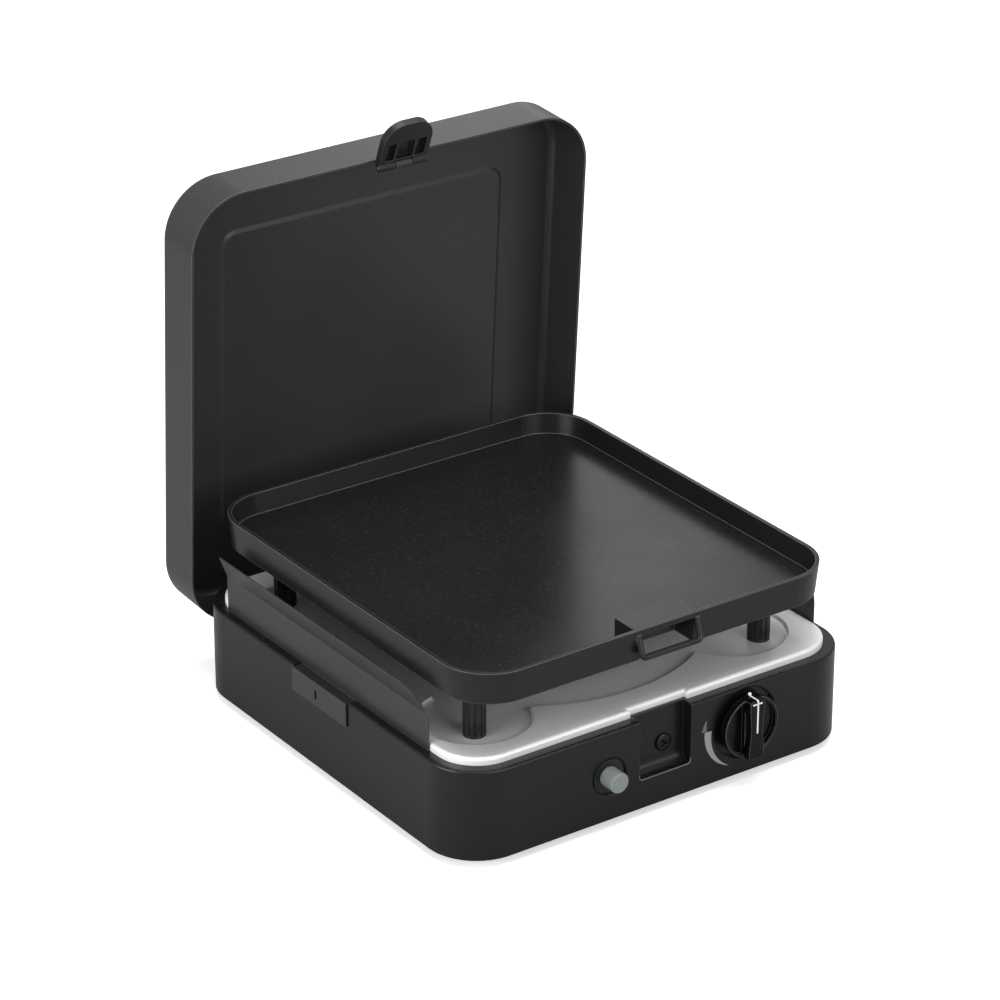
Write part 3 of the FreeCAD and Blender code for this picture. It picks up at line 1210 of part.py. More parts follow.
def make_gas_line():
    port_y = valve_back - 2 * s.valve_port
    side = s.dial_x + s.valve_width / 2
    low = dial_z - s.valve_height / 2
    jet_end = s.mixer_end + s.jet_gap + s.jet_length
    block = box((s.dial_x - s.valve_width / 2, valve_front, low),
                (side, valve_back, dial_z + s.valve_height / 2))
    port = rod((side, port_y, dial_z), "x", s.valve_port, s.valve_port_length)
    bore_end = valve_front + s.valve_length / 2 + s.push_travel + TINY
    cuts = [
        rod((s.dial_x, valve_front - TINY, dial_z), "y", s.spindle_radius + s.running_fit,
            bore_end - valve_front + TINY),
        rod((s.dial_x, valve_front, dial_z), "y", s.rod_radius + s.running_fit,
            s.valve_length + TINY),
        rod((side + 2, port_y, dial_z), "x", s.pipe_radius, s.valve_port_length),
        rod((s.inlet_x, port_y, low - TINY), "z", s.pipe_radius, s.valve_port),
    ]
    keep(cut(fuse([block, port]), cuts), "valve_body")
    keep(rod((s.dial_x, valve_back, dial_z), "y", s.magnet_radius, s.magnet_length),
         "valve_magnet")
    out_x = jet_end + s.pipe_out
    keep(bent_rod([(jet_end - s.jet_radius, 0, mixer_z), (out_x, 0, mixer_z),
                   (out_x, port_y, dial_z), (side + 2, port_y, dial_z)],
                  s.pipe_radius, s.pipe_bend), "gas_pipe")

    inside = half_depth - s.case_wall
    start = inside - s.inlet_inside
    flange = hexagon((s.inlet_x, half_depth, s.inlet_height), "y", s.inlet_nut, s.screw_head)
    thread = rod((s.inlet_x, start, s.inlet_height), "y", s.inlet_thread,
                 half_depth - start + TINY)
    nozzle = rod((s.inlet_x, half_depth, s.inlet_height), "y", s.nozzle_radius,
                 s.screw_head + s.nozzle_length)
    seat = rod((s.inlet_x, start - TINY, s.inlet_height), "y", s.pipe_radius,
               s.inlet_inside / 2 + TINY)
    bore = rod((s.inlet_x, start, s.inlet_height), "y", s.pipe_radius * 0.6,
               half_depth - start + s.screw_head + s.nozzle_length + TINY)
    keep(cut(fuse([flange, thread, nozzle]), [seat, bore]), "gas_inlet")
    nut = hexagon((s.inlet_x, inside - s.inlet_nut_thick, s.inlet_height), "y",
                  s.inlet_nut, s.inlet_nut_thick)
    hole = rod((s.inlet_x, inside - s.inlet_nut_thick - TINY, s.inlet_height), "y",
               s.inlet_thread, s.inlet_nut_thick + 2 * TINY)
    keep(cut(nut, [hole]), "inlet_nut")
    keep(bent_rod([(s.inlet_x, start + s.inlet_inside / 2, s.inlet_height),
                   (s.inlet_x, port_y, s.inlet_height),
                   (s.inlet_x, port_y, low + s.valve_port - TINY)],
                  s.pipe_radius, s.pipe_radius * 2.5), "inlet_pipe")


def make_probes():
    low = well - s.probe_low
    magnet_rear = valve_back + s.magnet_length
    lead = bent_rod([(probe_x, probe_y, low), (probe_x, probe_y, dial_z),
                     (s.dial_x, magnet_rear + 2 * s.lead_bend, dial_z),
                     (s.dial_x, magnet_rear, dial_z)], s.lead_radius, s.lead_bend)
    probe = rod((probe_x, probe_y, low), "z", s.probe_radius, s.probe_low + s.probe_high)
    keep(fuse([probe, lead]), "flame_probe")
    igniter_rear = button_floor + s.igniter_length
    wire = bent_rod([(-probe_x, probe_y, low), (-probe_x, probe_y, button_z),
                     (s.button_x, igniter_rear + 2 * s.lead_bend, button_z),
                     (s.button_x, igniter_rear, button_z)], s.lead_radius, s.lead_bend)
    pin = rod((-probe_x, probe_y, low), "z", s.spark_pin, s.probe_low + s.probe_high)
    keep(fuse([pin, wire]), "spark_pin")
    sleeve_low = low + 4
    keep(tube((-probe_x, probe_y, sleeve_low), "z", s.spark_sleeve, s.spark_pin,
              well + s.spark_high - sleeve_low), "spark_sleeve")
    collars = [tube((x, probe_y, well), "z", s.collar_radius, radius, s.collar_height)
               for x, radius in ((probe_x, s.probe_radius), (-probe_x, s.spark_sleeve))]
    keep(group(collars), "probe_collar")


bracket_screw_y = s.bracket_span + s.bracket_foot / 2
holder_screw_x = s.mixer_end + s.jet_gap + s.jet_length / 2 + s.holder_sheet + s.bracket_foot / 2
probe_x = s.probe_circle * sine(s.probe_turn)
probe_y = -(s.probe_circle * cosine(s.probe_turn))

make_case()
make_bottom()
make_tray()
make_knob()
make_igniter()
make_windshield(-1, "windshield_left")
make_windshield(1, "windshield_right")
make_griddle()
make_lid()
make_hinges()
make_burner()
make_gas_line()
make_probes()

doc.recompute()
for item in doc.Objects:
    if {"Invalid", "Error"} & set(item.State):
        raise RuntimeError(f"{item.Label} did not build: {item.State}")
for item in sub_parts:
    shape = item.Shape
    if shape.isNull() or not shape.isValid() or shape.Volume <= 0:
        raise RuntimeError(f"{item.Label} has no sound shape")
    shape.exportStep(f"parts/{item.Label}.step")
    bounds = shape.BoundBox
    print(f"{item.Label:18s} {shape.Volume:12.1f} mm3 {len(shape.Solids)} solid(s) "
          f"x {bounds.XMin:.1f}..{bounds.XMax:.1f} y {bounds.YMin:.1f}..{bounds.YMax:.1f} "
          f"z {bounds.ZMin:.1f}..{bounds.ZMax:.1f}")
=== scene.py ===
import math

import bmesh
import bpy
from mathutils import Matrix, Vector


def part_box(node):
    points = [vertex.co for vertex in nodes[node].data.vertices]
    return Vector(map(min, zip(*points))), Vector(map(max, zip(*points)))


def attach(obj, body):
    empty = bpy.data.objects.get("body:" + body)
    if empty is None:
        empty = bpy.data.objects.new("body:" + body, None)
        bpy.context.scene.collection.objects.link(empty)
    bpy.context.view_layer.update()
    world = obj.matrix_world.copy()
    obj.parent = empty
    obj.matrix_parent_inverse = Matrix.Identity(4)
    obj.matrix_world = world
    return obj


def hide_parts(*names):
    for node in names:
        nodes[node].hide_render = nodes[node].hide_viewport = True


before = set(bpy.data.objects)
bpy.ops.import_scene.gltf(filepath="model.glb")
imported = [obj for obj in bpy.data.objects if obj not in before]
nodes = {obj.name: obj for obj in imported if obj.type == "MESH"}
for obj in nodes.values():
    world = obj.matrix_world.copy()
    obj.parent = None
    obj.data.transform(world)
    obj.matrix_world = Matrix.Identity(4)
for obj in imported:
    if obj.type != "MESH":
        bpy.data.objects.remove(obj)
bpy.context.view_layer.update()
MM = 0.001


def add(tree, kind, inputs=None, **settings):
    """One shader node; a socket given as an input is linked, a value is set."""
    made = tree.nodes.new(kind)
    for key, value in settings.items():
        setattr(made, key, value)
    for key, value in (inputs or {}).items():
        if isinstance(value, bpy.types.NodeSocket):
            tree.links.new(value, made.inputs[key])
        else:
            made.inputs[key].default_value = value
    return made


def maths(tree, operation, first, second=0.0):
    return add(tree, "ShaderNodeMath", {0: first, 1: second}, operation=operation).outputs[0]


def remap(tree, value, low, high, to_low=0.0, to_high=1.0):
    made = add(tree, "ShaderNodeMapRange", {
        "Value": value, "From Min": low, "From Max": high, "To Min": to_low, "To Max": to_high})
    return made.outputs[0]


def noise(tree, vector, scale, detail=3.0, rough=0.5):
    made = add(tree, "ShaderNodeTexNoise", {
        "Vector": vector, "Scale": scale, "Detail": detail, "Roughness": rough})
    return made.outputs["Fac"]


def new_group(name, inputs, outputs):
    tree = bpy.data.node_groups.new(name, "ShaderNodeTree")
    for label, kind, default in inputs:
        socket = tree.interface.new_socket(label, in_out="INPUT", socket_type=kind)
        socket.default_value = default
    for label, kind in outputs:
        tree.interface.new_socket(label, in_out="OUTPUT", socket_type=kind)
    return tree, tree.nodes.new("NodeGroupInput").outputs, tree.nodes.new("NodeGroupOutput").inputs


def surface_group():
    """Skin of a coated or moulded part: fine grain, slow unevenness and settled dust."""
    tree, given, result = new_group(
        "SurfaceSkin",
        [("Grain Scale", "NodeSocketFloat", 900.0), ("Grain Depth", "NodeSocketFloat", 0.00002),
         ("Cloud Scale", "NodeSocketFloat", 9.0)],
        [("Height", "NodeSocketFloat"), ("Cloud", "NodeSocketFloat"), ("Dust", "NodeSocketFloat")])
    place = add(tree, "ShaderNodeTexCoord").outputs["Object"]
    grain = noise(tree, place, given["Grain Scale"], 2.0, 0.6)
    tree.links.new(maths(tree, "MULTIPLY", grain, given["Grain Depth"]), result["Height"])
    tree.links.new(noise(tree, place, given["Cloud Scale"], 4.0, 0.55), result["Cloud"])
    facing = add(tree, "ShaderNodeSeparateXYZ", {
        0: add(tree, "ShaderNodeNewGeometry").outputs["Normal"]}).outputs[2]
    specks = remap(tree, noise(tree, place, 420.0, 5.0, 0.75), 0.56, 0.72)
    dust = maths(tree, "MULTIPLY", specks, remap(tree, facing, 0.3, 1.0))
    tree.links.new(dust, result["Dust"])
    return tree


def brush_group():
    """Straight brushing on sheet metal, running along the stretch direction."""
    tree, given, result = new_group(
        "BrushedSheet",
        [("Along", "NodeSocketVector", (6.0, 900.0, 900.0)), ("Depth", "NodeSocketFloat", 0.00002)],
        [("Height", "NodeSocketFloat"), ("Streak", "NodeSocketFloat")])
    place = add(tree, "ShaderNodeTexCoord").outputs["Object"]
    run = add(tree, "ShaderNodeVectorMath", {0: place, 1: given["Along"]},
              operation="MULTIPLY").outputs[0]
    streak = noise(tree, run, 1.0, 4.0, 0.65)
    tree.links.new(streak, result["Streak"])
    tree.links.new(maths(tree, "MULTIPLY", streak, given["Depth"]), result["Height"])
    return tree


def edge_group():
    """Rounded corners of a part, and how near a point is to one of them."""
    tree, given, result = new_group(
        "RoundedEdge", [("Radius", "NodeSocketFloat", 0.0005)],
        [("Normal", "NodeSocketVector"), ("Edge", "NodeSocketFloat")])
    rounded = add(tree, "ShaderNodeBevel", {"Radius": given["Radius"]}, samples=6).outputs[0]
    plain = add(tree, "ShaderNodeNewGeometry").outputs["Normal"]
    near = add(tree, "ShaderNodeVectorMath", {0: rounded, 1: plain}, operation="DOT_PRODUCT")
    tree.links.new(rounded, result["Normal"])
    tree.links.new(remap(tree, near.outputs["Value"], 0.995, 0.8), result["Edge"])
    return tree


SKIN = surface_group()
BRUSH = brush_group()
EDGE = edge_group()


ROUGH_SPREAD = 0.05
COAT_ROUGH = 0.15
DUST_TONE = (0.32, 0.31, 0.29, 1.0)
# Light grey mixed into coated surfaces near their rounded edges: a painted highlight.
PAINTED_GLINT_TONE = (0.4, 0.4, 0.4, 1.0)


def skin_material(name, colour, rough, coat=0.0, edge=0.4, grain=(900.0, 0.00002),
                  tint=1.25, dust=0.1, specular=0.35, painted_glint=0.0):
    """A coated, cast or moulded surface; near its rounded edges a light grey is mixed into the colour
    as a painted highlight.
    """
    made = bpy.data.materials.new(name)
    made.use_nodes = True
    tree = made.node_tree
    shader = tree.nodes["Principled BSDF"]
    skin = add(tree, "ShaderNodeGroup", node_tree=SKIN)
    skin.inputs["Grain Scale"].default_value = grain[0]
    skin.inputs["Grain Depth"].default_value = grain[1]
    cloud, specks = skin.outputs["Cloud"], skin.outputs["Dust"]
    base = (*colour, 1.0)
    light = (*(min(1.0, c * tint) for c in colour), 1.0)
    tone = add(tree, "ShaderNodeMix", {0: cloud, 6: base, 7: light}, data_type="RGBA")
    dusty = add(tree, "ShaderNodeMix", {
        0: maths(tree, "MULTIPLY", specks, dust), 6: tone.outputs[2],
        7: DUST_TONE}, data_type="RGBA")
    # Painted highlight: near rounded edges the colour is turned toward the light grey.
    corner = add(tree, "ShaderNodeGroup", node_tree=EDGE)
    corner.inputs["Radius"].default_value = edge * MM
    painted_highlight_mix = add(tree, "ShaderNodeMix", {
        0: maths(tree, "MULTIPLY", corner.outputs["Edge"], painted_glint), 6: dusty.outputs[2],
        7: PAINTED_GLINT_TONE}, data_type="RGBA")
    tree.links.new(painted_highlight_mix.outputs[2], shader.inputs["Base Color"])
    tree.links.new(remap(tree, cloud, 0.25, 0.75, rough - ROUGH_SPREAD, rough + ROUGH_SPREAD),
                   shader.inputs["Roughness"])
    shader.inputs["Specular IOR Level"].default_value = specular
    shader.inputs["Coat Weight"].default_value = coat
    shader.inputs["Coat Roughness"].default_value = COAT_ROUGH
    bump = add(tree, "ShaderNodeBump", {
        "Height": skin.outputs["Height"], "Strength": 1.0, "Distance": 1.0,
        "Normal": corner.outputs["Normal"]})
    tree.links.new(bump.outputs[0], shader.inputs["Normal"])
    return made


def metal_material(name, colour, rough, along=(6.0, 900.0, 900.0), depth=0.00002, edge=0.3,
                   spread=0.08, tint=0.8, metal=1.0):
    """Bare metal with straight brushing or drawing marks."""
    made = bpy.data.materials.new(name)
    made.use_nodes = True
    tree = made.node_tree
    shader = tree.nodes["Principled BSDF"]
    brush = add(tree, "ShaderNodeGroup", node_tree=BRUSH)
    brush.inputs["Along"].default_value = along
    brush.inputs["Depth"].default_value = depth
    streak = brush.outputs["Streak"]
    base = (*colour, 1.0)
    dark = (*(c * tint for c in colour), 1.0)
    tone = add(tree, "ShaderNodeMix", {0: streak, 6: dark, 7: base}, data_type="RGBA")
    tree.links.new(tone.outputs[2], shader.inputs["Base Color"])
    tree.links.new(remap(tree, streak, 0.3, 0.7, rough - spread, rough + spread),
                   shader.inputs["Roughness"])
    shader.inputs["Metallic"].default_value = metal
    corner = add(tree, "ShaderNodeGroup", node_tree=EDGE)
    corner.inputs["Radius"].default_value = edge * MM
    bump = add(tree, "ShaderNodeBump", {
        "Height": brush.outputs["Height"], "Strength": 1.0, "Distance": 1.0,
        "Normal": corner.outputs["Normal"]})
    tree.links.new(bump.outputs[0], shader.inputs["Normal"])
    return made


BLACK = (0.006, 0.006, 0.0062)
case_paint = skin_material("CasePaint", BLACK, 0.27, edge=0.6, grain=(1400.0, 0.000008),
                           specular=0.32, painted_glint=0.12)
# The lid's paint is lighter than the case's, though it is the same coat: painted light for the light
# falling on the lid's inside.
lid_paint_painted_light = skin_material("LidPaintPaintedLight", (0.024, 0.024, 0.0245), 0.36, edge=0.7,
                          grain=(1400.0, 0.000008), specular=0.35, painted_glint=0.35)
shield_paint = skin_material("ShieldPaint", (0.016, 0.016, 0.0165), 0.34, edge=0.4,
                             grain=(1400.0, 0.000008), specular=0.5, painted_glint=0.2)
cast_coating = skin_material("CastCoating", (0.008, 0.008, 0.008), 0.28, edge=1.0,
                             grain=(2200.0, 0.000012), tint=1.3, specular=0.33, painted_glint=0.3)
black_plastic = skin_material("BlackPlastic", (0.006, 0.006, 0.0062), 0.38, edge=0.5,
                              grain=(2600.0, 0.00002), specular=0.4, painted_glint=0.2)
knob_plastic = skin_material("KnobPlastic", (0.002, 0.002, 0.0021), 0.22, edge=0.45,
                             grain=(2600.0, 0.00001), specular=0.22, painted_glint=0.35)
sleeve_plastic = skin_material("SleevePlastic", (0.006, 0.006, 0.0062), 0.36, edge=0.3,
                               grain=(2600.0, 0.00001), specular=0.45)
# Lighter plastic for the knob's ridge beads: a painted highlight.
ridge_highlight_plastic = skin_material("RidgeHighlightPlastic", (0.035, 0.035, 0.035), 0.3, edge=0.1,
                              grain=(2600.0, 0.00001), specular=0.5)
# Grey for the recess lip bead: a painted highlight.
lip_highlight_paint = skin_material("LipHighlightPaint", (0.1, 0.1, 0.1), 0.3, edge=0.1, grain=(1400.0, 0.000008),
                          specular=0.5)
grey_plastic = skin_material("GreyPlastic", (0.2, 0.225, 0.208), 0.4, edge=0.5,
                             grain=(2600.0, 0.00002), tint=1.08)
foot_rubber = skin_material("FootRubber", (0.02, 0.02, 0.02), 0.7, edge=0.5,
                            grain=(1800.0, 0.00004))
white_print = skin_material("WhitePrint", (0.8, 0.8, 0.79), 0.5, edge=0.05, dust=0.0, tint=1.05)
# Grey for the tick beside the flame arc: a painted highlight.
tick_highlight_paint = skin_material("TickHighlightPaint", (0.12, 0.12, 0.12), 0.5, edge=0.05, dust=0.0, tint=1.05)
dial_print = skin_material("DialPrint", (0.26, 0.26, 0.26), 0.5, edge=0.05, dust=0.0, tint=1.05)
ceramic = skin_material("Ceramic", (0.82, 0.8, 0.75), 0.25, edge=0.3, tint=1.05)
enamel = skin_material("Enamel", (0.02, 0.02, 0.021), 0.28, coat=0.6, edge=0.6)
stainless = metal_material("StainlessTray", (0.85, 0.85, 0.85), 0.42, along=(500.0, 5.0, 500.0),
                           depth=0.000003, edge=0.5, spread=0.03, tint=0.94, metal=0.3)
dark_steel = metal_material("DarkSteel", (0.035, 0.035, 0.036), 0.3)
steel = metal_material("PlainSteel", (0.56, 0.56, 0.57), 0.3)
zinc_sheet = metal_material("ZincSheet", (0.6, 0.61, 0.62), 0.38)
aluminium = metal_material("CastAluminium", (0.6, 0.6, 0.61), 0.42, along=(300.0, 300.0, 300.0))
brass = metal_material("Brass", (0.78, 0.6, 0.28), 0.3)
copper = metal_material("Copper", (0.72, 0.42, 0.26), 0.35)

LOOKS = {
    "case": case_paint, "bottom_pan": zinc_sheet, "pan_screw": steel, "foot": foot_rubber,
    "tray": stainless, "lid": lid_paint_painted_light, "latch": black_plastic, "latch_pin": steel,
    "griddle": cast_coating, "griddle_sleeve": sleeve_plastic,
    "windshield_left": shield_paint, "windshield_right": shield_paint,
    "knob": knob_plastic, "igniter_button": grey_plastic, "catch_screw": dark_steel,
    "hinge_arm": steel, "hinge_rivet": steel, "hinge_bracket": zinc_sheet, "hinge_pin": steel,
    "burner_bowl": aluminium, "burner_ring": aluminium, "burner_cap": enamel,
    "burner_bracket": zinc_sheet, "bracket_screw": steel, "gas_jet": brass,
    "jet_holder": zinc_sheet, "gas_pipe": aluminium, "valve_body": brass,
    "valve_spindle": steel, "valve_magnet": brass, "magnet_rod": steel, "gas_inlet": brass,
    "inlet_nut": brass, "inlet_pipe": aluminium, "flame_probe": copper, "probe_collar": steel,
    "spark_pin": steel, "spark_sleeve": ceramic, "igniter_body": black_plastic,
    "igniter_nut": black_plastic,
}
for name, look in LOOKS.items():
    slots = nodes[name].data.materials
    for i in range(max(1, len(slots))):
        if i < len(slots):
            slots[i] = look
        else:
            slots.append(look)


PRINT_THICK = 0.06 * MM


def ribbon(name, first, second, look, body):
    """A thin printed or raised band between two rows of points."""
    mesh = bmesh.new()
    rows = [[mesh.verts.new(point) for point in row] for row in (first, second)]
    for i in range(len(first) - 1):
        mesh.faces.new((rows[0][i], rows[0][i + 1], rows[1][i + 1], rows[1][i]))
    data = bpy.data.meshes.new(name)
    mesh.to_mesh(data)
    mesh.free()
    item = bpy.data.objects.new(name, data)
    bpy.context.scene.collection.objects.link(item)
    data.materials.append(look)
    skin = item.modifiers.new("Thickness", "SOLIDIFY")
    skin.thickness = PRINT_THICK
    skin.offset = 0.0
    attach(item, body)
    return item


# Marks round the dial, on the case's front face: the flame arc is print, and the grey tick beside its
# upper end is a painted highlight.
spindle_low, spindle_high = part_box("valve_spindle")
DIAL_X = (spindle_low.x + spindle_high.x) / 2
DIAL_Z = (spindle_low.z + spindle_high.z) / 2
PRINT_PROUD = 0.04 * MM
FACE_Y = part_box("case")[0].y - PRINT_PROUD


def round_dial(degrees, radius):
    turn_to = math.radians(degrees)
    return (DIAL_X + radius * MM * math.cos(turn_to), FACE_Y,
            DIAL_Z + radius * MM * math.sin(turn_to))


ARC_STEPS = 32
ARC_START, ARC_END = 176.0, 246.0
ARC_INNER, ARC_INNER_RISE = 27.4, 3.3
ARC_OUTER, ARC_OUTER_FALL = 33.2, 2.4
TIP_START, TIP_STEP, TIP_POINTS = 162.0, 1.9, 8
TIP_INNER, TIP_INNER_FALL = 33.0, 0.1
TIP_OUTER, TIP_OUTER_RISE = 34.1, 0.12
steps = [i / ARC_STEPS for i in range(ARC_STEPS + 1)]
angles = [ARC_START + (ARC_END - ARC_START) * at for at in steps]
ribbon("FlameArc",
       [round_dial(a, ARC_INNER + ARC_INNER_RISE * at) for a, at in zip(angles, steps)],
       [round_dial(a, ARC_OUTER - ARC_OUTER_FALL * at ** 2) for a, at in zip(angles, steps)],
       dial_print, "base")
# The grey tick beside the arc's upper end is a painted highlight.
hook = [TIP_START + TIP_STEP * i for i in range(TIP_POINTS)]
ribbon("HighlightTick", [round_dial(a, TIP_INNER - TIP_INNER_FALL * (a - TIP_START)) for a in hook],
       [round_dial(a, TIP_OUTER + TIP_OUTER_RISE * (a - TIP_START)) for a in hook],
       tick_highlight_paint, "base")

# Pointer line of the knob, over the bar's end and down its front.
knob_low, knob_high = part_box("knob")
LINE_PROUD = 0.02 * MM
KNOB_TOP, KNOB_FRONT = knob_high.z + LINE_PROUD, knob_low.y - LINE_PROUD
POINTER_HALF = 0.62 * MM
POINTER_BACK = 9.6 * MM
POINTER_END = 2.4 * MM
BAR_ROUND = 1.2 * MM
pointer = [(KNOB_FRONT + POINTER_BACK, KNOB_TOP), (KNOB_FRONT + BAR_ROUND, KNOB_TOP),
           (KNOB_FRONT + BAR_ROUND * 0.4, KNOB_TOP - BAR_ROUND * 0.2),
           (KNOB_FRONT + BAR_ROUND * 0.08, KNOB_TOP - BAR_ROUND * 0.6),
           (KNOB_FRONT, KNOB_TOP - BAR_ROUND), (KNOB_FRONT, DIAL_Z - POINTER_END)]
ribbon("KnobPointer", [(DIAL_X - POINTER_HALF, y, z) for y, z in pointer],
       [(DIAL_X + POINTER_HALF, y, z) for y, z in pointer], white_print, "knob_turn")
CROSS_DROP, CROSS_HIGH = 1.9 * MM, 1.1 * MM
CROSS_Z = KNOB_TOP - CROSS_DROP
cross_ends = (DIAL_X - 4.2 * MM, DIAL_X + 3.6 * MM)
ribbon("KnobCross", [(x, KNOB_FRONT, CROSS_Z) for x in cross_ends],
       [(x, KNOB_FRONT, CROSS_Z - CROSS_HIGH) for x in cross_ends], white_print, "knob_turn")


def bead(name, path, radius, look, body, closed=False):
    """A thin round bead along a row of points."""
    data = bpy.data.curves.new(name, "CURVE")
    data.dimensions = "3D"
    data.bevel_depth = radius
    data.bevel_resolution = 3
    data.use_fill_caps = True
    line = data.splines.new("POLY")
    line.points.add(len(path) - 1)
    for point, place in zip(line.points, path):
        point.co = (*place, 1.0)
    line.use_cyclic_u = closed
    item = bpy.data.objects.new(name, data)
    bpy.context.scene.collection.objects.link(item)
    data.materials.append(look)
    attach(item, body)
    return item


def turned(name, profile, look, body, place, dent=None, around=64):
    """A form turned about the Y axis from (radius, depth) points; dent moves its surface."""
    mesh = bmesh.new()
    rings = []
    for radius, depth in profile:
        ring = []
        for i in range(around):
            turn_to = 2 * math.pi * i / around
            x, z = radius * math.cos(turn_to), radius * math.sin(turn_to)
            sunk = dent(x, z) if dent else 0.0
            ring.append(mesh.verts.new((x * MM, (depth + sunk) * MM, z * MM)))
        rings.append(ring)
    for low, high in zip(rings, rings[1:]):
        for i in range(around):
            mesh.faces.new((low[i - 1], low[i], high[i], high[i - 1]))
    mesh.faces.new(rings[0])
    mesh.faces.new(list(reversed(rings[-1])))
    bmesh.ops.recalc_face_normals(mesh, faces=mesh.faces)
    for face in mesh.faces:
        face.smooth = True
    data = bpy.data.meshes.new(name)
    mesh.to_mesh(data)
    mesh.free()
    item = bpy.data.objects.new(name, data)
    bpy.context.scene.collection.objects.link(item)
    data.materials.append(look)
    item.location = place
    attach(item, body)
    return item


# White bead on the knob's rim, at the pointer's end; profiles are in millimetres.
BEAD_BACK, BEAD_RISE = 9.2 * MM, 0.95 * MM
BEAD_PROFILE = [(0.02, -1.2), (0.6, -1.04), (1.04, -0.6), (1.2, 0.0), (1.04, 0.6), (0.6, 1.04),
                (0.02, 1.2)]
turned("KnobBead", BEAD_PROFILE, white_print, "knob_turn",
       (DIAL_X, KNOB_FRONT + BEAD_BACK, KNOB_TOP + BEAD_RISE), around=24)

# Head of the catch screw, with its cross recess.
catch_low, catch_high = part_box("catch_screw")
CATCH = Vector(((catch_low.x + catch_high.x) / 2, catch_low.y, (catch_low.z + catch_high.z) / 2))
RECESS_DEEP, RECESS_REACH, RECESS_HALF = 1.5, 3.3, 0.75
EIGHTH_TURN = 0.7071
DOME_STEPS, DOME_RADIUS, DOME_RISE = 28, 5.6, 0.9
HEAD_EDGE = [(6.1, 1.3), (6.2, 2.0), (6.2, 2.55)]


def cross_recess(x, z):
    """How deep the cross drive is at a point of the head, in millimetres."""
    turned_x, turned_z = (x + z) * EIGHTH_TURN, (z - x) * EIGHTH_TURN
    arm = min(abs(turned_x), abs(turned_z))
    if math.hypot(x, z) >= RECESS_REACH or arm >= RECESS_HALF:
        return 0.0
    return RECESS_DEEP * max(0.0, 1.0 - arm / RECESS_HALF) ** 0.5


dome = [(0.02 + DOME_RADIUS * i / DOME_STEPS, DOME_RISE * (i / DOME_STEPS) ** 2)
        for i in range(DOME_STEPS + 1)]
catch_head = turned("CatchHead", dome + HEAD_EDGE, dark_steel, "base",
                    CATCH, dent=cross_recess, around=96)
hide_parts("catch_screw")

# Rolled lip along the foot of the latch recess: a thin bead whose grey colour is a painted highlight
# on the black case.
LIP_HALF, LIP_LOW, LIP_TURN, LIP_RISE = 20.75, 26.8, 2.5, 1.5
LIP_RADIUS, LIP_SUNK = 0.45 * MM, 0.25 * MM
lip = [(-LIP_HALF, LIP_LOW + LIP_TURN + LIP_RISE)]
for i in range(7):
    turn_to = math.radians(180 + 15 * i)
    lip.append((-LIP_HALF + LIP_TURN + LIP_TURN * math.cos(turn_to),
                LIP_LOW + LIP_TURN + LIP_TURN * math.sin(turn_to)))
lip += [(-x, z) for x, z in reversed(lip)]
bead("RecessLipHighlight", [(x * MM, FACE_Y + LIP_SUNK, z * MM) for x, z in lip],
     LIP_RADIUS, lip_highlight_paint, "base")

# Bright ridges of the knob, the rim round its pockets and the grip bar's edges: thin round beads,
# partly a real highlight on their rounded surface and partly a painted highlight from their plastic
# being lighter than the knob's.
RIM_INSET, RIM_BACK, RIM_RADIUS = 0.35 * MM, 5.95 * MM, 0.3 * MM
KNOB_R = (knob_high.x - knob_low.x) / 2 - RIM_INSET
rim = [math.radians(6 * i) for i in range(60)]
bead("KnobRim", [(DIAL_X + KNOB_R * math.cos(a), knob_low.y + RIM_BACK, DIAL_Z + KNOB_R * math.sin(a))
                 for a in rim], RIM_RADIUS, ridge_highlight_plastic, "knob_turn", closed=True)
BAR_HALF, BAR_WAIST, BAR_SWEEP, BAR_REACH = 6.0, 4.9, 75, 20.4
RIDGE_INSET, RIDGE_HALF_STEPS = 0.35, 12
RIDGE_BACK, RIDGE_RADIUS = 0.4 * MM, 0.26 * MM
for side, name in ((-1, "KnobRidgeLeft"), (1, "KnobRidgeRight")):
    ridge = []
    for i in range(2 * RIDGE_HALF_STEPS + 1):
        up = (i / RIDGE_HALF_STEPS - 1) * BAR_REACH
        hollow = BAR_WAIST + BAR_SWEEP - math.sqrt(BAR_SWEEP ** 2 - up ** 2)
        wide = min(BAR_HALF, hollow) - RIDGE_INSET
        ridge.append((DIAL_X + side * wide * MM, knob_low.y + RIDGE_BACK, DIAL_Z + up * MM))
    bead(name, ridge, RIDGE_RADIUS, ridge_highlight_plastic, "knob_turn")


def plane(name, corners, look):
    mesh = bpy.data.meshes.new(name)
    mesh.from_pydata(corners, [], [tuple(range(len(corners)))])
    item = bpy.data.objects.new(name, mesh)
    bpy.context.scene.collection.objects.link(item)
    mesh.materials.append(look)
    return item


FLOOR_HALF = 6
FLOOR_GLOW = 0.4


def floor_material():
    """Pale paper that looks white to the camera and throws less light up at the stove."""
    made = bpy.data.materials.new("FloorPaper")
    made.use_nodes = True
    tree = made.node_tree
    shader = tree.nodes["Principled BSDF"]
    seen = add(tree, "ShaderNodeLightPath").outputs["Is Camera Ray"]
    tone = add(tree, "ShaderNodeMix", {
        0: seen, 6: (0.4, 0.4, 0.4, 1.0), 7: (0.95, 0.95, 0.95, 1.0)}, data_type="RGBA")
    tree.links.new(tone.outputs[2], shader.inputs["Base Color"])
    shader.inputs["Emission Color"].default_value = (1.0, 1.0, 1.0, 1.0)
    tree.links.new(maths(tree, "MULTIPLY", seen, FLOOR_GLOW), shader.inputs["Emission Strength"])
    shader.inputs["Roughness"].default_value = 0.9
    shader.inputs["Specular IOR Level"].default_value = 0.1
    return made


floor = plane("Floor", [(-FLOOR_HALF, -FLOOR_HALF, 0), (FLOOR_HALF, -FLOOR_HALF, 0),
                        (FLOOR_HALF, FLOOR_HALF, 0), (-FLOOR_HALF, FLOOR_HALF, 0)],
              floor_material())

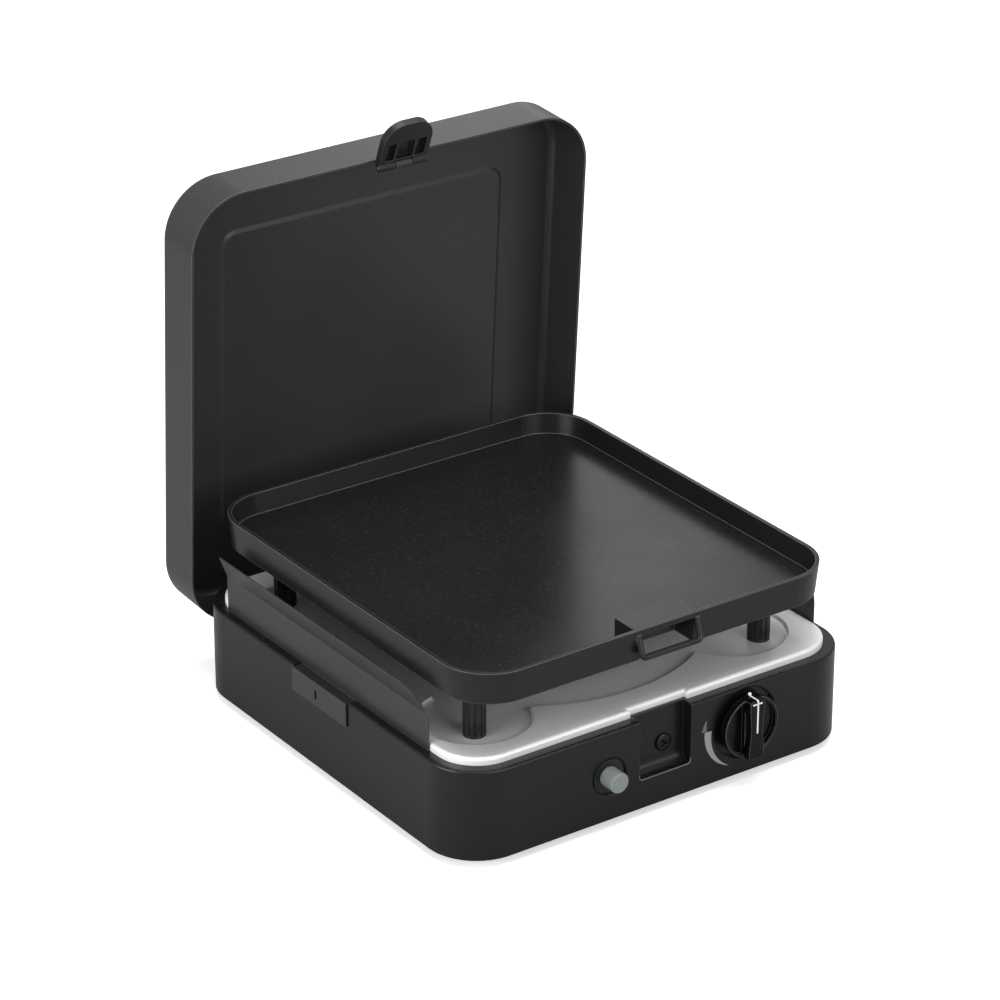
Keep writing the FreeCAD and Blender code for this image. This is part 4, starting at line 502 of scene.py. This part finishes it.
world = bpy.data.worlds.new("Studio")
bpy.context.scene.world = world
world.use_nodes = True
sky = world.node_tree
background = sky.nodes["Background"]
path = add(sky, "ShaderNodeLightPath")
background.inputs["Color"].default_value = (1.0, 1.0, 1.0, 1.0)
strength = add(sky, "ShaderNodeMapRange", {
    "Value": path.outputs["Is Camera Ray"], "To Min": 0.55, "To Max": 1.0})
sky.links.new(strength.outputs[0], background.inputs["Strength"])


STOVE_MIDDLE = (0, 0, 0.1)


def area_light(name, place, target, size, power):
    data = bpy.data.lights.new(name, "AREA")
    data.shape = "RECTANGLE"
    data.size, data.size_y = size
    data.energy = power
    item = bpy.data.objects.new(name, data)
    bpy.context.scene.collection.objects.link(item)
    item.location = place
    item.rotation_euler = (Vector(target) - Vector(place)).to_track_quat("-Z", "Y").to_euler()
    return item


area_light("Overhead", (0.1, 0.0, 1.7), STOVE_MIDDLE, (1.6, 1.2), 24)
area_light("BackSoft", (0.68, 0.92, 0.78), (0.05, 0.1, 0.1), (0.42, 0.5), 0.7)
area_light("LeftSoft", (-1.5, -0.1, 0.35), STOVE_MIDDLE, (1.0, 0.7), 20)
area_light("FrontSoft", (0.3, -2.0, 0.8), STOVE_MIDDLE, (1.6, 1.0), 18)

# The camera: angles in radians, distances in metres, focal length as a share of the picture's width.
YAW, PITCH = 0.6134, 0.4436
DISTANCE, ACROSS, UPWARD = 2.65367, 0.01752, -0.02347
FOCAL = 3.98788
AIM = Vector((0.0, -0.01409, 0.1336))
SHIFT_X, SHIFT_Y = 0.00518, -0.00056
SENSOR = 36.0
ahead = Vector((math.sin(YAW) * math.cos(PITCH), math.cos(YAW) * math.cos(PITCH), -math.sin(PITCH)))
right = Vector((math.cos(YAW), -math.sin(YAW), 0.0))
upward = right.cross(ahead)
camera_data = bpy.data.cameras.new("Camera")
camera = bpy.data.objects.new("Camera", camera_data)
bpy.context.scene.collection.objects.link(camera)
turn = Matrix((right, upward, -ahead)).transposed().to_4x4()
spot = AIM - ahead * DISTANCE - right * ACROSS - upward * UPWARD
camera.matrix_world = Matrix.Translation(spot) @ turn
camera_data.sensor_width = SENSOR
camera_data.lens = SENSOR * FOCAL
camera_data.shift_x = SHIFT_X
camera_data.shift_y = SHIFT_Y
camera_data.clip_start = 0.05
bpy.context.scene.camera = camera
bpy.context.scene.view_settings.view_transform = "Standard"
